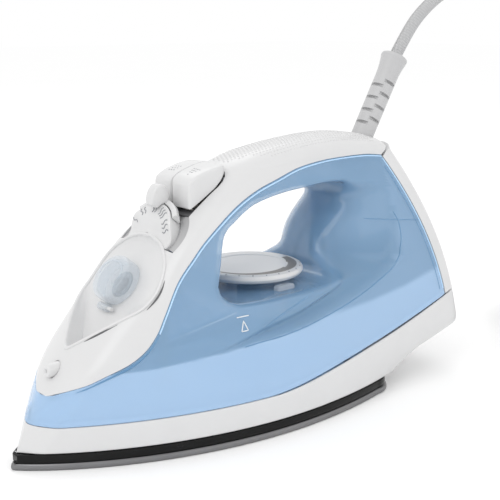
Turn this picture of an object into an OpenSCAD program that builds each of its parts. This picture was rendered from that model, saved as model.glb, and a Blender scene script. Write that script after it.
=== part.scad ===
// Steam iron with a see-through water tank, 275 mm long.
// Frame: nose towards -X, +Z up, origin under the middle of the soleplate's resting face.

/* [Soleplate] */
// Distance from the origin to the nose tip
nose_reach = 137.5; // [134:0.5:141]
// Widest half-width of the soleplate
sole_half = 55.5; // [54:0.5:57]
// Where along the length the soleplate is widest
sole_wide_x = 8; // [4:1:12]
// Rear edge of the soleplate
sole_rear_x = 79; // [77:1:81]
// Half-width of the soleplate at its rear edge
sole_rear_half = 46; // [44:0.5:48]
// Thickness of the soleplate's rim
sole_t = 3.2; // [2.6:0.2:3.4]
// Diameter of a steam vent
vent_d = 3; // [2:0.5:4]

/* [Housing] */
// Height at which the white housing starts
skirt_top = 8; // [7.5:0.5:8.5]
// Height of the tank's lower edge along the front half
band_z = 21; // [20:0.5:22]
// Distance from the origin to the back of the heel
heel_reach = 137.5; // [136:0.5:139]
// Half-width of the grip where the tank meets the white cover
grip_half = 18; // [17:0.5:19]
// Wall thickness of the moulded shells
wall = 2.4; // [2:0.2:2.8]
// Gap between neighbouring shells
seam = 0.3; // [0.2:0.1:0.5]

/* [Dial] */
// Radius of the temperature dial
dial_r = 29; // [27:0.5:30]
// Height of the dial's upper face
dial_top = 75.5; // [75:0.5:76.5]
// Thickness of the dial's rim
dial_t = 5; // [4:0.5:5.2]
// Where along the length the dial sits
dial_x = 10; // [9:0.5:11]
// Diameter of the dial's shaft
shaft_d = 7; // [6:0.5:8]

/* [Front face] */
// Slope of the front face above the horizontal, degrees
face_angle = 51; // [51:1:51]
// Depth of the filling tray's floor below the ridge
tray_depth = 10; // [9.5:0.5:10.5]
// Diameter of the filling cap
cap_d = 24; // [22:1:25]
// Height of the filling cap above the tray
cap_h = 9.5; // [8:0.5:10]
// Bore of the filling neck
neck_bore = 14; // [12:0.5:15]

/* [Buttons and slider] */
// Width of one push button
button_w = 14.6; // [14:0.2:15]
// Travel of the push buttons
button_travel = 3; // [2.5:0.5:4]
// Middle radius of the slider's arched track
track_r = 19.5; // [19:0.5:20]

/* [Cord] */
// Diameter of the braided mains cord
cord_d = 7.5; // [7:0.1:8]
// Length of the cord guide above the handle
guide_len = 53; // [50:1:56]
// Diameter of the cord guide
guide_d = 13; // [12:0.5:14]
// Lean of the cord guide back from the vertical, degrees
guide_lean = 31; // [31:1:31]
// Middle radius of the stored coil
coil_r = 42.5; // [41:0.5:43]

/* [Hidden] */
$fn = 64;

white = [0.93, 0.94, 0.95];
blue = [0.55, 0.74, 0.9, 0.75];
clear = [0.85, 0.92, 0.97, 0.6];
silver = [0.7, 0.7, 0.72];
black = [0.06, 0.06, 0.06];
grey = [0.45, 0.47, 0.5];
brass = [0.8, 0.65, 0.3];

// ---- curves and surfaces shared by the shells ----

function clamp01(t) = min(1, max(0, t));
function mix(a, b, t) = a * (1 - t) + b * t;

// smooth curve through the points p, t from 0 to 1 over its whole run
function curve(p, t) =
    let (n = len(p) - 1, s = clamp01(t) * n, i = min(n - 1, floor(s)), f = s - i,
        a = p[max(0, i - 1)], b = p[i], c = p[i + 1], d = p[min(n, i + 2)])
    0.5 * ((2 * b) + (c - a) * f + (2 * a - 5 * b + 4 * c - d) * f * f
        + (3 * b - a - 3 * c + d) * f * f * f);

// half-width of the soleplate along its length
function sole_half_at(x) = x < sole_wide_x
    ? sole_half * pow(max(0, 1 - pow((sole_wide_x - x) / (sole_wide_x + nose_reach), 2)), 0.85)
    : sole_half - (sole_half - sole_rear_half) * pow((x - sole_wide_x) / (sole_rear_x - sole_wide_x), 2);

// the nose ridge leans back with height, and the heel bulges and then leans forward
function nose_x(z) = -nose_reach + 0.38 * z + 0.004 * z * z;
function back_x(z) = heel_reach - 0.0038 * pow(max(0, z - 44), 2);

// half-width of the housing before its nose and heel are rounded
grip_z = 130;
undercut_h = 26;
function base_half_at(x) = x < sole_wide_x ? sole_half_at(x) - 1
    : sole_half - 1 + 1.5 * pow((x - sole_wide_x) / 122, 2);
function undercut(x, z) = x < sole_wide_x ? 0
    : (base_half_at(x) - sole_half_at(min(x, 100)) + 1)
        * pow(1 - clamp01((z - skirt_top) / undercut_h), 1.5);
function flank(x, z) = let (b = base_half_at(x), t = clamp01((z - skirt_top) / (grip_z - skirt_top)))
    b - (b - grip_half) * pow(t, 1.35) - undercut(x, z);

nose_round = 9;
heel_depth = 16;
heel_power = 3.5;
function nose_factor(x, z) = let (d = clamp01((x - nose_x(z)) / nose_round)) sqrt(1 - pow(1 - d, 2));
function heel_factor(x, z) = let (d = clamp01((x - back_x(z) + heel_depth) / heel_depth))
    pow(1 - pow(d, heel_power), 1 / heel_power);
function half(x, z) = flank(x, z) * nose_factor(x, z) * heel_factor(x, z);

// edges between the shells in the side view, [x, z]
function band_edge(x) = band_z + 26.3 * pow(max(0, x + 20) / 142, 1.4);
function under_edge(x) = x < sole_rear_x ? skirt_top : skirt_top + 23.5 * pow((x - sole_rear_x) / 55, 0.75);
tank_corner_x = 122;
tank_top_z = 129;
ridge = [[-120, 34], [-112.5, 44.5], [-104.5, 54.5], [-95, 67], [-85, 79.5], [-75, 91.5], [-65, 102.5],
    [-54, 112.5], [-42, 118.5], [-30, 123.5], [-17, 131], [-5, 135.5], [12, 139], [40, 142], [65, 143],
    [85, 141], [98, 138.5], [106, 136]];
cover_edge = [[-120, 33.5], [-112, 38.5], [-101, 43.5], [-89, 48.5], [-81, 54], [-75, 61], [-70, 69.5],
    [-61.5, 83], [-51, 93], [-41, 101], [-22, 112.5], [-5, 119.5], [12, 124], [28, 128], [45, 130],
    [60, 130.7], [80, 130.5], [94, 129]];
hole = [[-38, 78], [-36.5, 72.5], [-29, 68], [-14, 67], [2, 67], [19, 67], [34, 67.3], [41.5, 70], [43.5, 76],
    [45.5, 83], [49, 90], [53.5, 97], [58, 103.5], [60.5, 110], [57, 116], [47, 118], [34, 117.3],
    [19, 116.5], [6, 115], [-6, 112.6], [-17.5, 108.5], [-27.3, 102.2], [-30.8, 97], [-34.3, 87.5],
    [-38, 78]];

// two layers of rows of points, joined into one closed skin; a turned one has its rows the other way round
module skin(outer, inner, ring = false, turned = false) {
    rows = len(outer);
    cols = len(outer[0]);
    pts = concat([for (r = outer) each r], [for (r = inner) each r]);
    all = rows * cols;
    last = ring ? rows - 1 : rows - 2;
    function at(i, j) = (i % rows) * cols + j;
    outside = [for (i = [0:last], j = [0:cols - 2]) each
        [[at(i, j), at(i + 1, j), at(i + 1, j + 1)], [at(i, j), at(i + 1, j + 1), at(i, j + 1)]]];
    inside = [for (f = outside) [f[0] + all, f[2] + all, f[1] + all]];
    rims = [for (i = [0:last]) each
        [[at(i, 0), all + at(i, 0), all + at(i + 1, 0)], [at(i, 0), all + at(i + 1, 0), at(i + 1, 0)],
         [at(i, cols - 1), at(i + 1, cols - 1), all + at(i + 1, cols - 1)],
         [at(i, cols - 1), all + at(i + 1, cols - 1), all + at(i, cols - 1)]]];
    ends = ring ? [] : [for (j = [0:cols - 2]) each
        [[at(0, j), at(0, j + 1), all + at(0, j + 1)], [at(0, j), all + at(0, j + 1), all + at(0, j)],
         [at(rows - 1, j), all + at(rows - 1, j), all + at(rows - 1, j + 1)],
         [at(rows - 1, j), all + at(rows - 1, j + 1), at(rows - 1, j + 1)]]];
    faces = concat(outside, inside, rims, ends);
    polyhedron(pts, turned ? [for (f = faces) [f[0], f[2], f[1]]] : faces, convexity = 8);
}

// frame of the sloping front face: X up the slope, Z outwards
face_origin = [-85, 0, 79.5];
module on_face(a = 0, c = 0) {
    translate(face_origin) rotate([0, -face_angle, 0]) translate([a, 0, c]) children();
}

// ---- soleplate group ----

rear_corner_r = 16;
corner_x = sole_rear_x - rear_corner_r;

// one side of the soleplate's outline, moved inwards by inset
function sole_side(inset, steps = 30) = let (h = sole_half_at(corner_x), r = rear_corner_r - inset / 2)
    concat(
        [for (i = [0:steps]) let (x = mix(-nose_reach + 2.2 * inset, corner_x, (1 - cos(90 * i / steps))),
            y = max(0.01, sole_half_at(x))) [x, -y * y / (y + inset)]],
        [for (a = [15:15:90]) [corner_x + (r - inset / 2) * sin(a),
            -(h * h / (h + inset) - r * (1 - cos(a)))]]);
function mirrored(side) = concat(side,
    [for (i = [len(side) - 1:-1:0]) if (side[i][1] != 0) [side[i][0], -side[i][1]]]);
module sole_shape(inset) { polygon(mirrored(sole_side(inset))); }

vent_rows = [[-104, 4], [-92, 9], [-78, 15], [-62, 21], [-44, 26], [-24, 30], [-4, 32], [16, 32]];
module soleplate() {
    color(silver) difference() {
        linear_extrude(sole_t) sole_shape(0);
        for (v = vent_rows, side = [-1, 1])
            translate([v[0], side * v[1], -1]) cylinder(d = vent_d, h = sole_t + 2);
    }
}

element_half = 24;
element_nose = -45;
element_tail = 60;
element_z = 12;
module element_path(r) {
    for (side = [-1, 1])
        translate([element_nose, side * element_half, element_z]) rotate([0, 90, 0])
            cylinder(r = r, h = element_tail - element_nose);
    translate([element_nose, 0, element_z]) rotate([0, 0, 90])
        rotate_extrude(angle = 180) translate([element_half, 0]) circle(r);
}
casting_top = 12;
module sole_casting() {
    color(silver) difference() {
        translate([0, 0, sole_t + 0.1]) linear_extrude(casting_top - sole_t - 0.1) sole_shape(8.6);
        element_path(3.5);
        translate([-38, -18, 7]) cube([76, 36, 10]);
        for (side = [-1, 1]) translate([element_tail - 1, side * element_half - 5, 9]) cube([20, 10, 10]);
    }
}
module heating_element() { color(grey) element_path(3.3); }
module element_terminals() {
    color(brass) for (side = [-1, 1]) translate([element_tail + 0.1, side * element_half, element_z]) {
        rotate([0, 90, 0]) cylinder(r = 1.6, h = 7);
        translate([6, -3, -0.4]) cube([8, 6, 0.8]);
    }
}
screw_spots = [[-34, -14], [-34, 14], [0, -15], [0, 15], [34, -14], [34, 14]];
module steam_chamber_cover() {
    color(silver) difference() {
        translate([-40, -19.5, casting_top + 0.05]) cube([80, 39, 1.4]);
        translate([-30, 0, 0]) cylinder(d = 4, h = 20);
    }
}
module chamber_screws() {
    color(grey) for (s = screw_spots) translate([s[0], s[1], casting_top + 1.5]) cylinder(d = 6, h = 2);
}
module heat_shield() {
    color(black) difference() {
        translate([0, 0, sole_t + 0.1]) linear_extrude(skirt_top - sole_t - 0.2) sole_shape(1);
        linear_extrude(20) sole_shape(6.5);
    }
}

// ---- white base and blue tank ----

function run(s) = (1 - cos(180 * s)) / 2;
function inner_half(h) = h * h / (h + wall);
function ring_point(i, n, z, inner) =
    let (g = run(i <= n ? i / n : (2 * n - i) / n), x = mix(nose_x(z), back_x(z), g),
        y = (i < n ? -1 : 1) * half(x, z))
    inner ? [mix(nose_x(z) + 1.6 * wall, back_x(z) - wall, g), inner_half(abs(y)) * sign(y), z] : [x, y, z];

ring_steps = 28;
base_levels = [0, 0.2, 0.5, 0.8, 1];
module base_ring() {
    function row(i, inner) = let (g = run(i <= ring_steps ? i / ring_steps : 2 - i / ring_steps),
        x = mix(-nose_reach, heel_reach, g))
        [for (v = base_levels) ring_point(i, ring_steps, mix(under_edge(x), band_edge(x) - seam, v), inner)];
    rows = [0:2 * ring_steps - 1];
    skin([for (i = rows) row(i, false)], [for (i = rows) row(i, true)], true, true);
}
// the swept underside of the heel
module heel_floor() {
    function row(i, drop) = let (x = mix(sole_rear_x - 3, heel_reach - 0.8, i / 10), z = under_edge(x))
        [for (j = [-6:6]) [x, (half(x, z + 0.3) - 0.6) * sin(15 * j), z + drop]];
    skin([for (i = [0:10]) row(i, 0.1)], [for (i = [0:10]) row(i, wall)]);
}
// resize keeps each size as drawn and makes its children one moulding
module moulding() { resize([0, 0, 0]) union() { children(); } }
module base_housing() {
    color(white) moulding() {
        base_ring();
        heel_floor();
    }
}

floor_z = 16.5;
floor_t = 2.5;
valve_x = -48;
module tank_floor() {
    color(blue) difference() {
        translate([0, 0, floor_z]) linear_extrude(floor_t) sole_shape(8.9);
        translate([valve_x, 0, 0]) cylinder(d = 10.2, h = 40);
        translate([dial_x, 0, 0]) cylinder(d = 15, h = 40);
        for (s = floor_screws) translate([s[0], s[1], 0]) cylinder(d = 3.6, h = 40);
    }
}
floor_screws = [[-95, 0], [-30, 30], [-30, -30], [50, 34], [50, -34]];
module tank_floor_screws() {
    color(grey) for (s = floor_screws) translate([s[0], s[1], 13]) {
        cylinder(d = 3.4, h = 6.2);
        translate([0, 0, 6.05]) cylinder(d = 6.5, h = 2);
    }
}

// the tank's outer edge and the hole's edge in the side view, walked together
function tank_edge(i) =
    i < 24 ? let (x = mix(nose_x(band_z), tank_corner_x, (1 - cos(90 * i / 24)))) [x, band_edge(x)]
    : i < 32 ? let (z = mix(band_edge(tank_corner_x), tank_top_z, (i - 24) / 8))
        [back_x(z) - heel_depth - seam, z]
    : i < 58 ? curve(cover_edge, 1 - (i - 32) / 26)
    : let (z = mix(33.5, band_z, (i - 57) / 3)) [nose_x(z), z];
function hole_t(i) = let (t = i < 24 ? mix(0.16, 0.27, i / 24)
    : i < 32 ? mix(0.27, 0.57, (i - 24) / 8)
    : i < 49 ? mix(0.57, 1, (i - 32) / 17) : mix(1, 1.16, (i - 49) / 11)) t - floor(t);
tank_rows = 60;
nose_flat = 1.5;
// the opening's edge is rounded a little in front and the whole rear pillar is rounded in front
function tank_row(i, inner) =
    let (b = tank_edge(i), t = hole_t(i), h = curve(hole, t), n = norm(b - h), d = (b - h) / n,
        r = mix(4.5, 0.8 * half(h[0], h[1]), clamp01((t - 0.25) * 9) * clamp01((0.585 - t) * 12)),
        f = 1 - r / n, a = h + d * (inner ? wall : 0),
        stops = [0, 0.4 * f, 0.8 * f, f, 1 - 0.5 * r / n, 1 - 0.14 * r / n, 1],
        side = [for (v = stops) let (p = mix(b, a, v), far = clamp01(norm(p - h) / r),
            y = max(nose_flat, half(p[0], p[1])) - r * (1 - sqrt(1 - pow(1 - far, 2))))
            [p[0], inner ? inner_half(y) : y, p[1]]],
        mouth = side[len(side) - 1])
    concat([for (p = side) [p[0], -p[1], p[2]]],
        [for (f = [-0.5, 0, 0.5]) [mouth[0], f * mouth[1], mouth[2]]],
        [for (j = [len(side) - 1:-1:0]) side[j]]);
module water_tank() {
    color(blue) moulding() difference() {
        skin([for (i = [0:tank_rows - 1]) tank_row(i, false)],
            [for (i = [0:tank_rows - 1]) tank_row(i, true)], true, true);
        translate([dial_x, 0, 60]) cylinder(d = 12, h = 12);
    }
}

// ---- white covers ----

function lobe(t, power) = pow(max(0, t), 2 / power);
cover_power = 2.6;
cover_cols = 16;
// share of the way from the edge to the ridge at which the outer surface closes
function closing(e, r, lo = 0.3, hi = 1, steps = 10) = let (m = (lo + hi) / 2, p = mix(e, r, m))
    steps == 0 ? hi : p[0] > nose_x(p[1]) + 0.8 ? closing(e, r, m, hi, steps - 1)
    : closing(e, r, lo, m, steps - 1);
function cover_row(t, inner) =
    let (e = curve(cover_edge, t), top = curve(ridge, t), r = mix(e, top, closing(e, top)),
        n = norm(r - e), up = (r - e) / n,
        e1 = e + up * min(seam, n / 4), r1 = inner ? r - up * min(wall, 0.45 * n) : r)
    [for (j = [0:cover_cols]) let (a = 180 * j / cover_cols, p = mix(e1, r1, lobe(sin(a), cover_power)),
        y = max(nose_flat, half(p[0], p[1])), w = inner ? inner_half(y) : y)
        [p[0], -w * sign(cos(a)) * lobe(abs(cos(a)), cover_power), p[1]]];
cover_steps = 44;
module cover_skin() {
    ts = [for (i = [0:cover_steps]) 0.02 + 0.98 * i / cover_steps];
    skin([for (t = ts) cover_row(t, false)], [for (t = ts) cover_row(t, true)], false, true);
}

tray_side = [[-33, 0], [-31, 3], [-20, 12.5], [-5, 23], [3, 25.5], [12, 25.5], [22, 22], [30, 14],
    [33.5, 5], [33.5, 0]];
module tray_shape(shrink = 0) {
    k = 1 - shrink / 25;
    polygon(mirrored([for (p = tray_side) [p[0] * k, -p[1] * k]]));
}
track_a = 34;
module arch(r0, r1, c0, c1, spread) {
    on_face(track_a, c0) rotate([0, 0, -spread]) rotate_extrude(angle = 2 * spread)
        translate([r0, 0]) square([r1 - r0, c1 - c0]);
}
nozzle_x = -113;
nozzle_z = 44;
button_x0 = -42;
button_x1 = -16.5;
module handle_cover() {
    color(white) moulding() difference() {
        cover_skin();
        on_face(0, -13) linear_extrude(40) tray_shape();
        intersection() {
            on_face(track_a, -16) cylinder(r = track_r + 3, h = 40);
            on_face(track_a - 4, -17) translate([0, -40, 0]) cube([40, 80, 42]);
        }
        translate([button_x0 - 2.3, -button_w - 0.9, 104])
            cube([button_x1 - button_x0 + 3.6, 2 * button_w + 1.8, 40]);
        translate([nozzle_x - 20, 0, nozzle_z]) rotate([0, 90, 0]) cylinder(d = 9.8, h = 34);
        guide_frame(-12) cylinder(r = guide_d / 2 + 0.5, h = 24);
    }
}

rear_cols = 14;
rear_rows = 12;
rear_share = 0.96;
function rear_row(t, inner) =
    let (z0 = mix(band_edge(tank_corner_x), tank_top_z, t) , z1 = mix(band_edge(heel_reach), 136, t),
        a = [back_x(z0) - heel_depth + seam, z0 + seam], b = [back_x(z1) - (inner ? wall : 0), z1 + seam])
    [for (j = [0:rear_cols]) let (g = 180 * j / rear_cols, p = mix(a, b, lobe(sin(g), heel_power)),
        w = flank(p[0], p[1]), y = inner ? w - wall : w)
        [p[0], -y * sign(cos(g)) * lobe(abs(cos(g)), heel_power), p[1]]];
rear_screw_z = 62;
module rear_cover() {
    color(white) difference() {
        moulding() skin([for (i = [0:rear_rows]) rear_row(rear_share * i / rear_rows, false)],
            [for (i = [0:rear_rows]) rear_row(rear_share * i / rear_rows, true)]);
        translate([120, 0, rear_screw_z]) rotate([0, 90, 0]) cylinder(d = 3.6, h = 40);
    }
}
module rear_cover_screw() {
    color(grey) translate([back_x(rear_screw_z), 0, rear_screw_z]) rotate([0, -90, 0]) {
        translate([0, 0, -2.2]) cylinder(d = 7, h = 1.6);
        translate([0, 0, -0.7]) cylinder(d = 3.4, h = 20);
    }
}

// ---- filling tray, neck and cap ----

neck_a = 6.8;
hinge_a = neck_a - cap_d / 2 - 2;
hinge_c = -tray_depth + 2.2;
pin_d = 2;
module filler_tray() {
    color(white) difference() {
        union() {
            on_face(0, -tray_depth - 2.2) linear_extrude(2.2) tray_shape(0.6);
            for (side = [-1, 1]) on_face(hinge_a, -tray_depth - 0.1)
                translate([-2, side * 5 - 1, 0]) cube([4, 2, 3.8]);
        }
        on_face(neck_a, -20) cylinder(d = neck_bore + 3.2, h = 20);
        on_face(hinge_a, hinge_c) translate([0, -8, 0]) rotate([-90, 0, 0]) cylinder(d = pin_d + 0.1, h = 16);
    }
}
module cap_hinge_pin() {
    color(silver) on_face(hinge_a, hinge_c) translate([0, -6.5, 0]) rotate([-90, 0, 0])
        cylinder(d = pin_d, h = 13);
}
neck_drop = 16;
module filler_neck() {
    color(white) on_face(neck_a, -tray_depth - neck_drop) difference() {
        cylinder(d = neck_bore + 3, h = neck_drop - 0.1);
        translate([0, 0, -1]) cylinder(d = neck_bore, h = neck_drop + 2);
    }
}
module filler_cap() {
    color(clear) difference() {
        union() {
            on_face(neck_a, -tray_depth + 0.3) cylinder(d = cap_d, h = cap_h - 1.5);
            on_face(neck_a, -tray_depth + cap_h - 1.3) cylinder(d1 = cap_d, d2 = cap_d - 3, h = 1.5);
            on_face(neck_a, -tray_depth - 2.4) cylinder(d = neck_bore - 1.2, h = 3);
            on_face(hinge_a, hinge_c) translate([0, -3.6, 0]) rotate([-90, 0, 0]) cylinder(d = 4, h = 7.2);
            on_face(hinge_a, hinge_c - 1.4) translate([0, -3.6, 0]) cube([6, 7.2, 3]);
            on_face(neck_a, -tray_depth + cap_h) translate([-1.2, -8, -0.3]) cube([2.4, 16, 2]);
        }
        on_face(hinge_a, hinge_c) translate([0, -8, 0]) rotate([-90, 0, 0]) cylinder(d = pin_d + 0.2, h = 16);
        on_face(neck_a, -tray_depth - 3) cylinder(d = neck_bore - 4, h = 8);
    }
}

// ---- spray and steam pumps under the buttons ----

module tube(points, r, sides = 8) {
    n = len(points);
    function dir(i) = let (d = points[min(n - 1, i + 1)] - points[max(0, i - 1)]) d / norm(d);
    function across(i) = let (d = dir(i), s = cross(d, abs(d[1]) > 0.9 ? [1, 0, 0] : [0, 1, 0])) s / norm(s);
    function hoop(i) = let (a = across(i), b = cross(dir(i), a))
        [for (k = [0:sides - 1]) points[i] + r * (a * cos(360 * k / sides) + b * sin(360 * k / sides))];
    pts = [for (i = [0:n - 1]) each hoop(i)];
    walls = [for (i = [0:n - 2], k = [0:sides - 1])
        let (a = i * sides, b = a + sides, m = (k + 1) % sides) each
        [[a + k, a + m, b + m], [a + k, b + m, b + k]]];
    ends = [[for (k = [sides - 1:-1:0]) k], [for (k = [0:sides - 1]) (n - 1) * sides + k]];
    polyhedron(pts, concat(walls, ends));
}
function smooth_path(p, steps) = [for (i = [0:steps]) curve(p, i / steps)];

module spray_nozzle() {
    color(white) translate([nozzle_x - 4, 0, nozzle_z]) rotate([0, 90, 0]) difference() {
        union() {
            cylinder(d = 9, h = 10);
            translate([0, 0, 9.9]) cylinder(d = 5, h = 8);
        }
        translate([0, 0, -1]) cylinder(d = 1.2, h = 30);
    }
}
pump_tilt = 20;
pump_y = 8;
pump_top = [-34, 112];
module pump_frame(side, s) {
    translate([pump_top[0], side * pump_y, pump_top[1]]) rotate([0, pump_tilt, 0])
        translate([0, 0, s]) children();
}
pump_len = 16;
pump_s = -28;
piston_d = 7;
module pump_body(side) {
    pump_frame(side, pump_s) difference() {
        cylinder(d = 10.2, h = pump_len);
        translate([0, 0, 2]) cylinder(d = piston_d + 0.2, h = pump_len);
        translate([0, 0, -1]) cylinder(d = 2, h = 4);
    }
}
piston_top = 6;
module piston(side) {
    foot = pump_s + 5 + button_travel;
    pump_frame(side, foot) cylinder(d = piston_d, h = piston_top - foot);
}
spring_turns = 4;
module pump_spring(side) {
    s0 = pump_s + pump_len + 0.9;
    pump_frame(side, s0) tube([for (i = [0:40]) let (a = 360 * spring_turns * i / 40)
        [4.6 * cos(a), 4.6 * sin(a), 16.3 * i / 40]], 0.6, 6);
}
module spray_pump() { color(white) pump_body(-1); }
module steam_pump() { color(white) pump_body(1); }
module spray_piston() { color(silver) piston(-1); }
module steam_piston() { color(silver) piston(1); }
module spray_spring() { color(silver) pump_spring(-1); }
module steam_spring() { color(silver) pump_spring(1); }

button_profile = [[button_x0, 119], [button_x0, 126], [button_x0 + 1.5, 128.6], [-36, 131], [-28, 133.2],
    [button_x1 - 2, 134.6], [button_x1, 133.6], [button_x1 - 1, 130], [-26, 121.5], [-33, 119]];
module button(side) {
    difference() {
        translate([0, side > 0 ? 0.25 : -button_w, 0]) translate([0, button_w - 0.25, 0]) rotate([90, 0, 0])
            linear_extrude(button_w - 0.25) polygon(button_profile);
        translate([button_x1 - 9, side * (button_w + 3.5), 100]) rotate([0, 0, side * 15])
            translate([-15, side > 0 ? 0 : -20, 0]) cube([40, 20, 50]);
    }
}
module spray_button() { color(white) button(-1); }
module steam_button() { color(white) button(1); }
spray_route = [[-43.7, -8, 85.2], [-45.6, -8.6, 80], [-54, -12, 70], [-68, -12, 57], [-84, -8, 48],
    [-91, -2, 45], [-98.8, 0, 44]];
module spray_hose() { color(grey) tube(smooth_path(spray_route, 16), 1.6); }
steam_route = [[-43.7, 8, 85.2], [-45.6, 9, 80], [-48, 14, 70], [-46, 17, 55], [-40, 17, 35],
    [-36, 12, 20.5]];
module steam_hose() { color(grey) tube(smooth_path(steam_route, 16), 1.6); }

// ---- steam slider and its valve ----

module slider_collar() { color(white) arch(10, track_r - 2.7, -tray_depth + 1, -4, 100); }
arm_c = -14.2;
arm_t = 1.8;
pivot_d = 4;
knob_profile = [[51.8, -8], [51.8, -3.4], [49, -3.4], [57.5, 0.6], [58.7, -1], [55, -8]];
module steam_slider() {
    color(white) difference() {
        union() {
            arch(track_r - 2.2, track_r + 1.1, -9, -5.5, 50);
            arch(track_r - 1.8, track_r - 0.4, -14, -8.5, 12);
            on_face(track_a, arm_c) translate([0, -3, 0]) cube([track_r - 1, 6, arm_t]);
            on_face(track_a, arm_c) cylinder(d = 10, h = arm_t);
            on_face() translate([0, 2.8, 0]) rotate([90, 0, 0]) linear_extrude(5.6) polygon(knob_profile);
        }
        on_face(track_a, arm_c - 1) cylinder(d = pivot_d + 0.2, h = arm_t + 2);
    }
}
module slider_pivot() { color(silver) on_face(track_a, arm_c - 3) cylinder(d = pivot_d, h = arm_t + 2.8); }
module valve_rod() {
    color(brass) translate([valve_x, 0, 15]) {
        cylinder(d1 = 2, d2 = 4, h = 2);
        translate([0, 0, 1.9]) cylinder(d = 4, h = 66);
    }
}
module valve_seat() {
    color(grey) translate([valve_x, 0, 14.2]) difference() {
        union() {
            cylinder(d = 10, h = 5.5);
            translate([0, 0, floor_z + floor_t - 14.1]) cylinder(d = 14, h = 2);
        }
        translate([0, 0, -1]) cylinder(d = 4.2, h = 12);
    }
}

// ---- temperature dial, its shaft and thermostat ----

dial_bottom = dial_top - dial_t;
hub_bottom = dial_bottom - 2.6;
hub_r = 8;
shaft_foot = 24;
module temperature_dial() {
    color(white) translate([dial_x, 0, 0]) rotate_extrude() polygon([[0, hub_bottom], [hub_r, hub_bottom],
        [hub_r, dial_bottom], [dial_r - 3, dial_bottom], [dial_r - 0.7, dial_bottom + 1],
        [dial_r, dial_bottom + 2.3], [dial_r - 0.3, dial_bottom + 3.8], [dial_r - 1.8, dial_top - 0.2],
        [dial_r - 3, dial_top], [0, dial_top]]);
}
module dial_shaft() {
    color(silver) translate([dial_x, 0, shaft_foot])
        cylinder(d = shaft_d, h = hub_bottom - shaft_foot - 0.05);
}
module dial_collar() {
    color(blue) translate([dial_x, 0, 67.1]) difference() {
        cylinder(r = 14, h = 2.2);
        translate([0, 0, -1]) cylinder(r = 9, h = 5);
    }
}
module shaft_tunnel() {
    color(blue) translate([dial_x, 0, floor_z]) difference() {
        cylinder(d = 14, h = 64.4 - floor_z);
        translate([0, 0, -1]) cylinder(d = 10, h = 60);
    }
}
module thermostat() {
    color(grey) translate([dial_x, 0, casting_top + 1.6]) {
        cylinder(d = 9.2, h = 8);
        translate([-13, -4, 0]) cube([26, 8, 2.6]);
        translate([0, 0, 7.9]) cylinder(d = 6, h = 2);
    }
}
module thermal_fuse() {
    color(white) translate([66, -8, 14.2]) rotate([-90, 0, 0]) cylinder(d = 4, h = 16);
}
pilot_spot = [9, -28.5];
module pilot_lens() {
    color(clear) translate([pilot_spot[0] - 6, pilot_spot[1] - 2.5, 67.1]) cube([12, 5, 2.4]);
}
module pilot_lamp() { color("orange") translate([pilot_spot[0], pilot_spot[1], 54]) cylinder(d = 5, h = 10); }

// ---- cord guide, its socket and the wiring ----

guide_base = [97, 0, 137.5];
module guide_frame(s) { translate(guide_base) rotate([0, guide_lean, 0]) translate([0, 0, s]) children(); }
module cord_guide() {
    r = guide_d / 2;
    bore = cord_d / 2 + 0.4;
    color(white) guide_frame(0) rotate_extrude() polygon([[bore, -14], [8, -14], [8, -10.5], [r, -10.5],
        [r, 40], [r + 0.3, 46], [r + 1, 50], [r + 1.6, guide_len - 1], [r + 1.2, guide_len],
        [bore, guide_len]]);
}
module guide_socket() {
    color(grey) guide_frame(-20) difference() {
        cylinder(r = 10.4, h = 14);
        translate([0, 0, 2]) cylinder(r = 8.4, h = 20);
        translate([0, 0, -1]) cylinder(r = 4.6, h = 20);
    }
}
module cord_clamp() {
    color(white) translate([78, -13, 104]) difference() {
        cube([10, 26, 4]);
        for (y = [4, 22]) translate([5, y, -1]) cylinder(d = 3.4, h = 6);
    }
}
module clamp_screws() {
    color(grey) for (y = [-9, 9]) translate([83, y, 96]) {
        cylinder(d = 3.2, h = 12.1);
        translate([0, 0, 12]) cylinder(d = 6, h = 2);
    }
}
module terminal_block() {
    color(white) translate([64, -14, 82]) difference() {
        cube([26, 28, 13.8]);
        for (y = [5, 14, 23]) translate([-1, y, 7]) rotate([0, 90, 0]) cylinder(d = 3.4, h = 28);
    }
}
wire_y = [-9, 0, 9];
module lead_wires() {
    color(brass) for (y = wire_y) tube(smooth_path([[63.8, y, 89], [58, y, 84], [56, y * 1.6, 66],
        [60, y * 2, 40], [66, y * 2.2, 23]], 14), 1.1, 6);
}

// ---- mains cord, its coil and plug ----

guide_dir = [sin(guide_lean), 0, cos(guide_lean)];
exit_point = guide_base + guide_dir * (guide_len + 0.3);
cord_route = [exit_point, [142.5, 0, 204.5], [166, 0, 219.5], [193.5, 0, 226.5], [221.5, 0, 224.5],
    [248, 0, 213.5], [270, 0, 196], [286, 0, 172], [295, 0, 144.5], [300.5, 0, 115], [305, 0, 86],
    [308.5, -1.5, 58], [311.5, -9, 32], [313.5, -25, 14]];
coil_mid = [268, -52];
coil_turn = cord_d;
coil_lift = 1;
coil_h = 3 * cord_d;
module cord_tube() { color(white) tube(smooth_path(cord_route, 46), cord_d / 2, 10); }
module cord_coil() {
    color(white) translate([coil_mid[0], coil_mid[1], coil_lift]) rotate_extrude()
        polygon([[coil_r - coil_turn, 1.5], [coil_r - coil_turn + 1.5, 0], [coil_r + coil_turn - 1.5, 0],
            [coil_r + coil_turn, 1.5], [coil_r + coil_turn, coil_h - 1.5], [coil_r + coil_turn - 1.5, coil_h],
            [coil_r - coil_turn + 1.5, coil_h], [coil_r - coil_turn, coil_h - 1.5]]);
}
module cord_tie() {
    color(black) translate([coil_mid[0] - coil_r - coil_turn - 1, coil_mid[1] - 5, 0.1]) difference() {
        cube([2 * coil_turn + 2.6, 10, coil_h + 1.8]);
        translate([0.9, -1, 0.85]) cube([2 * coil_turn + 0.8, 12, coil_h + 0.1]);
    }
}
plug_tail = [241, -86.3, 31];
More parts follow.
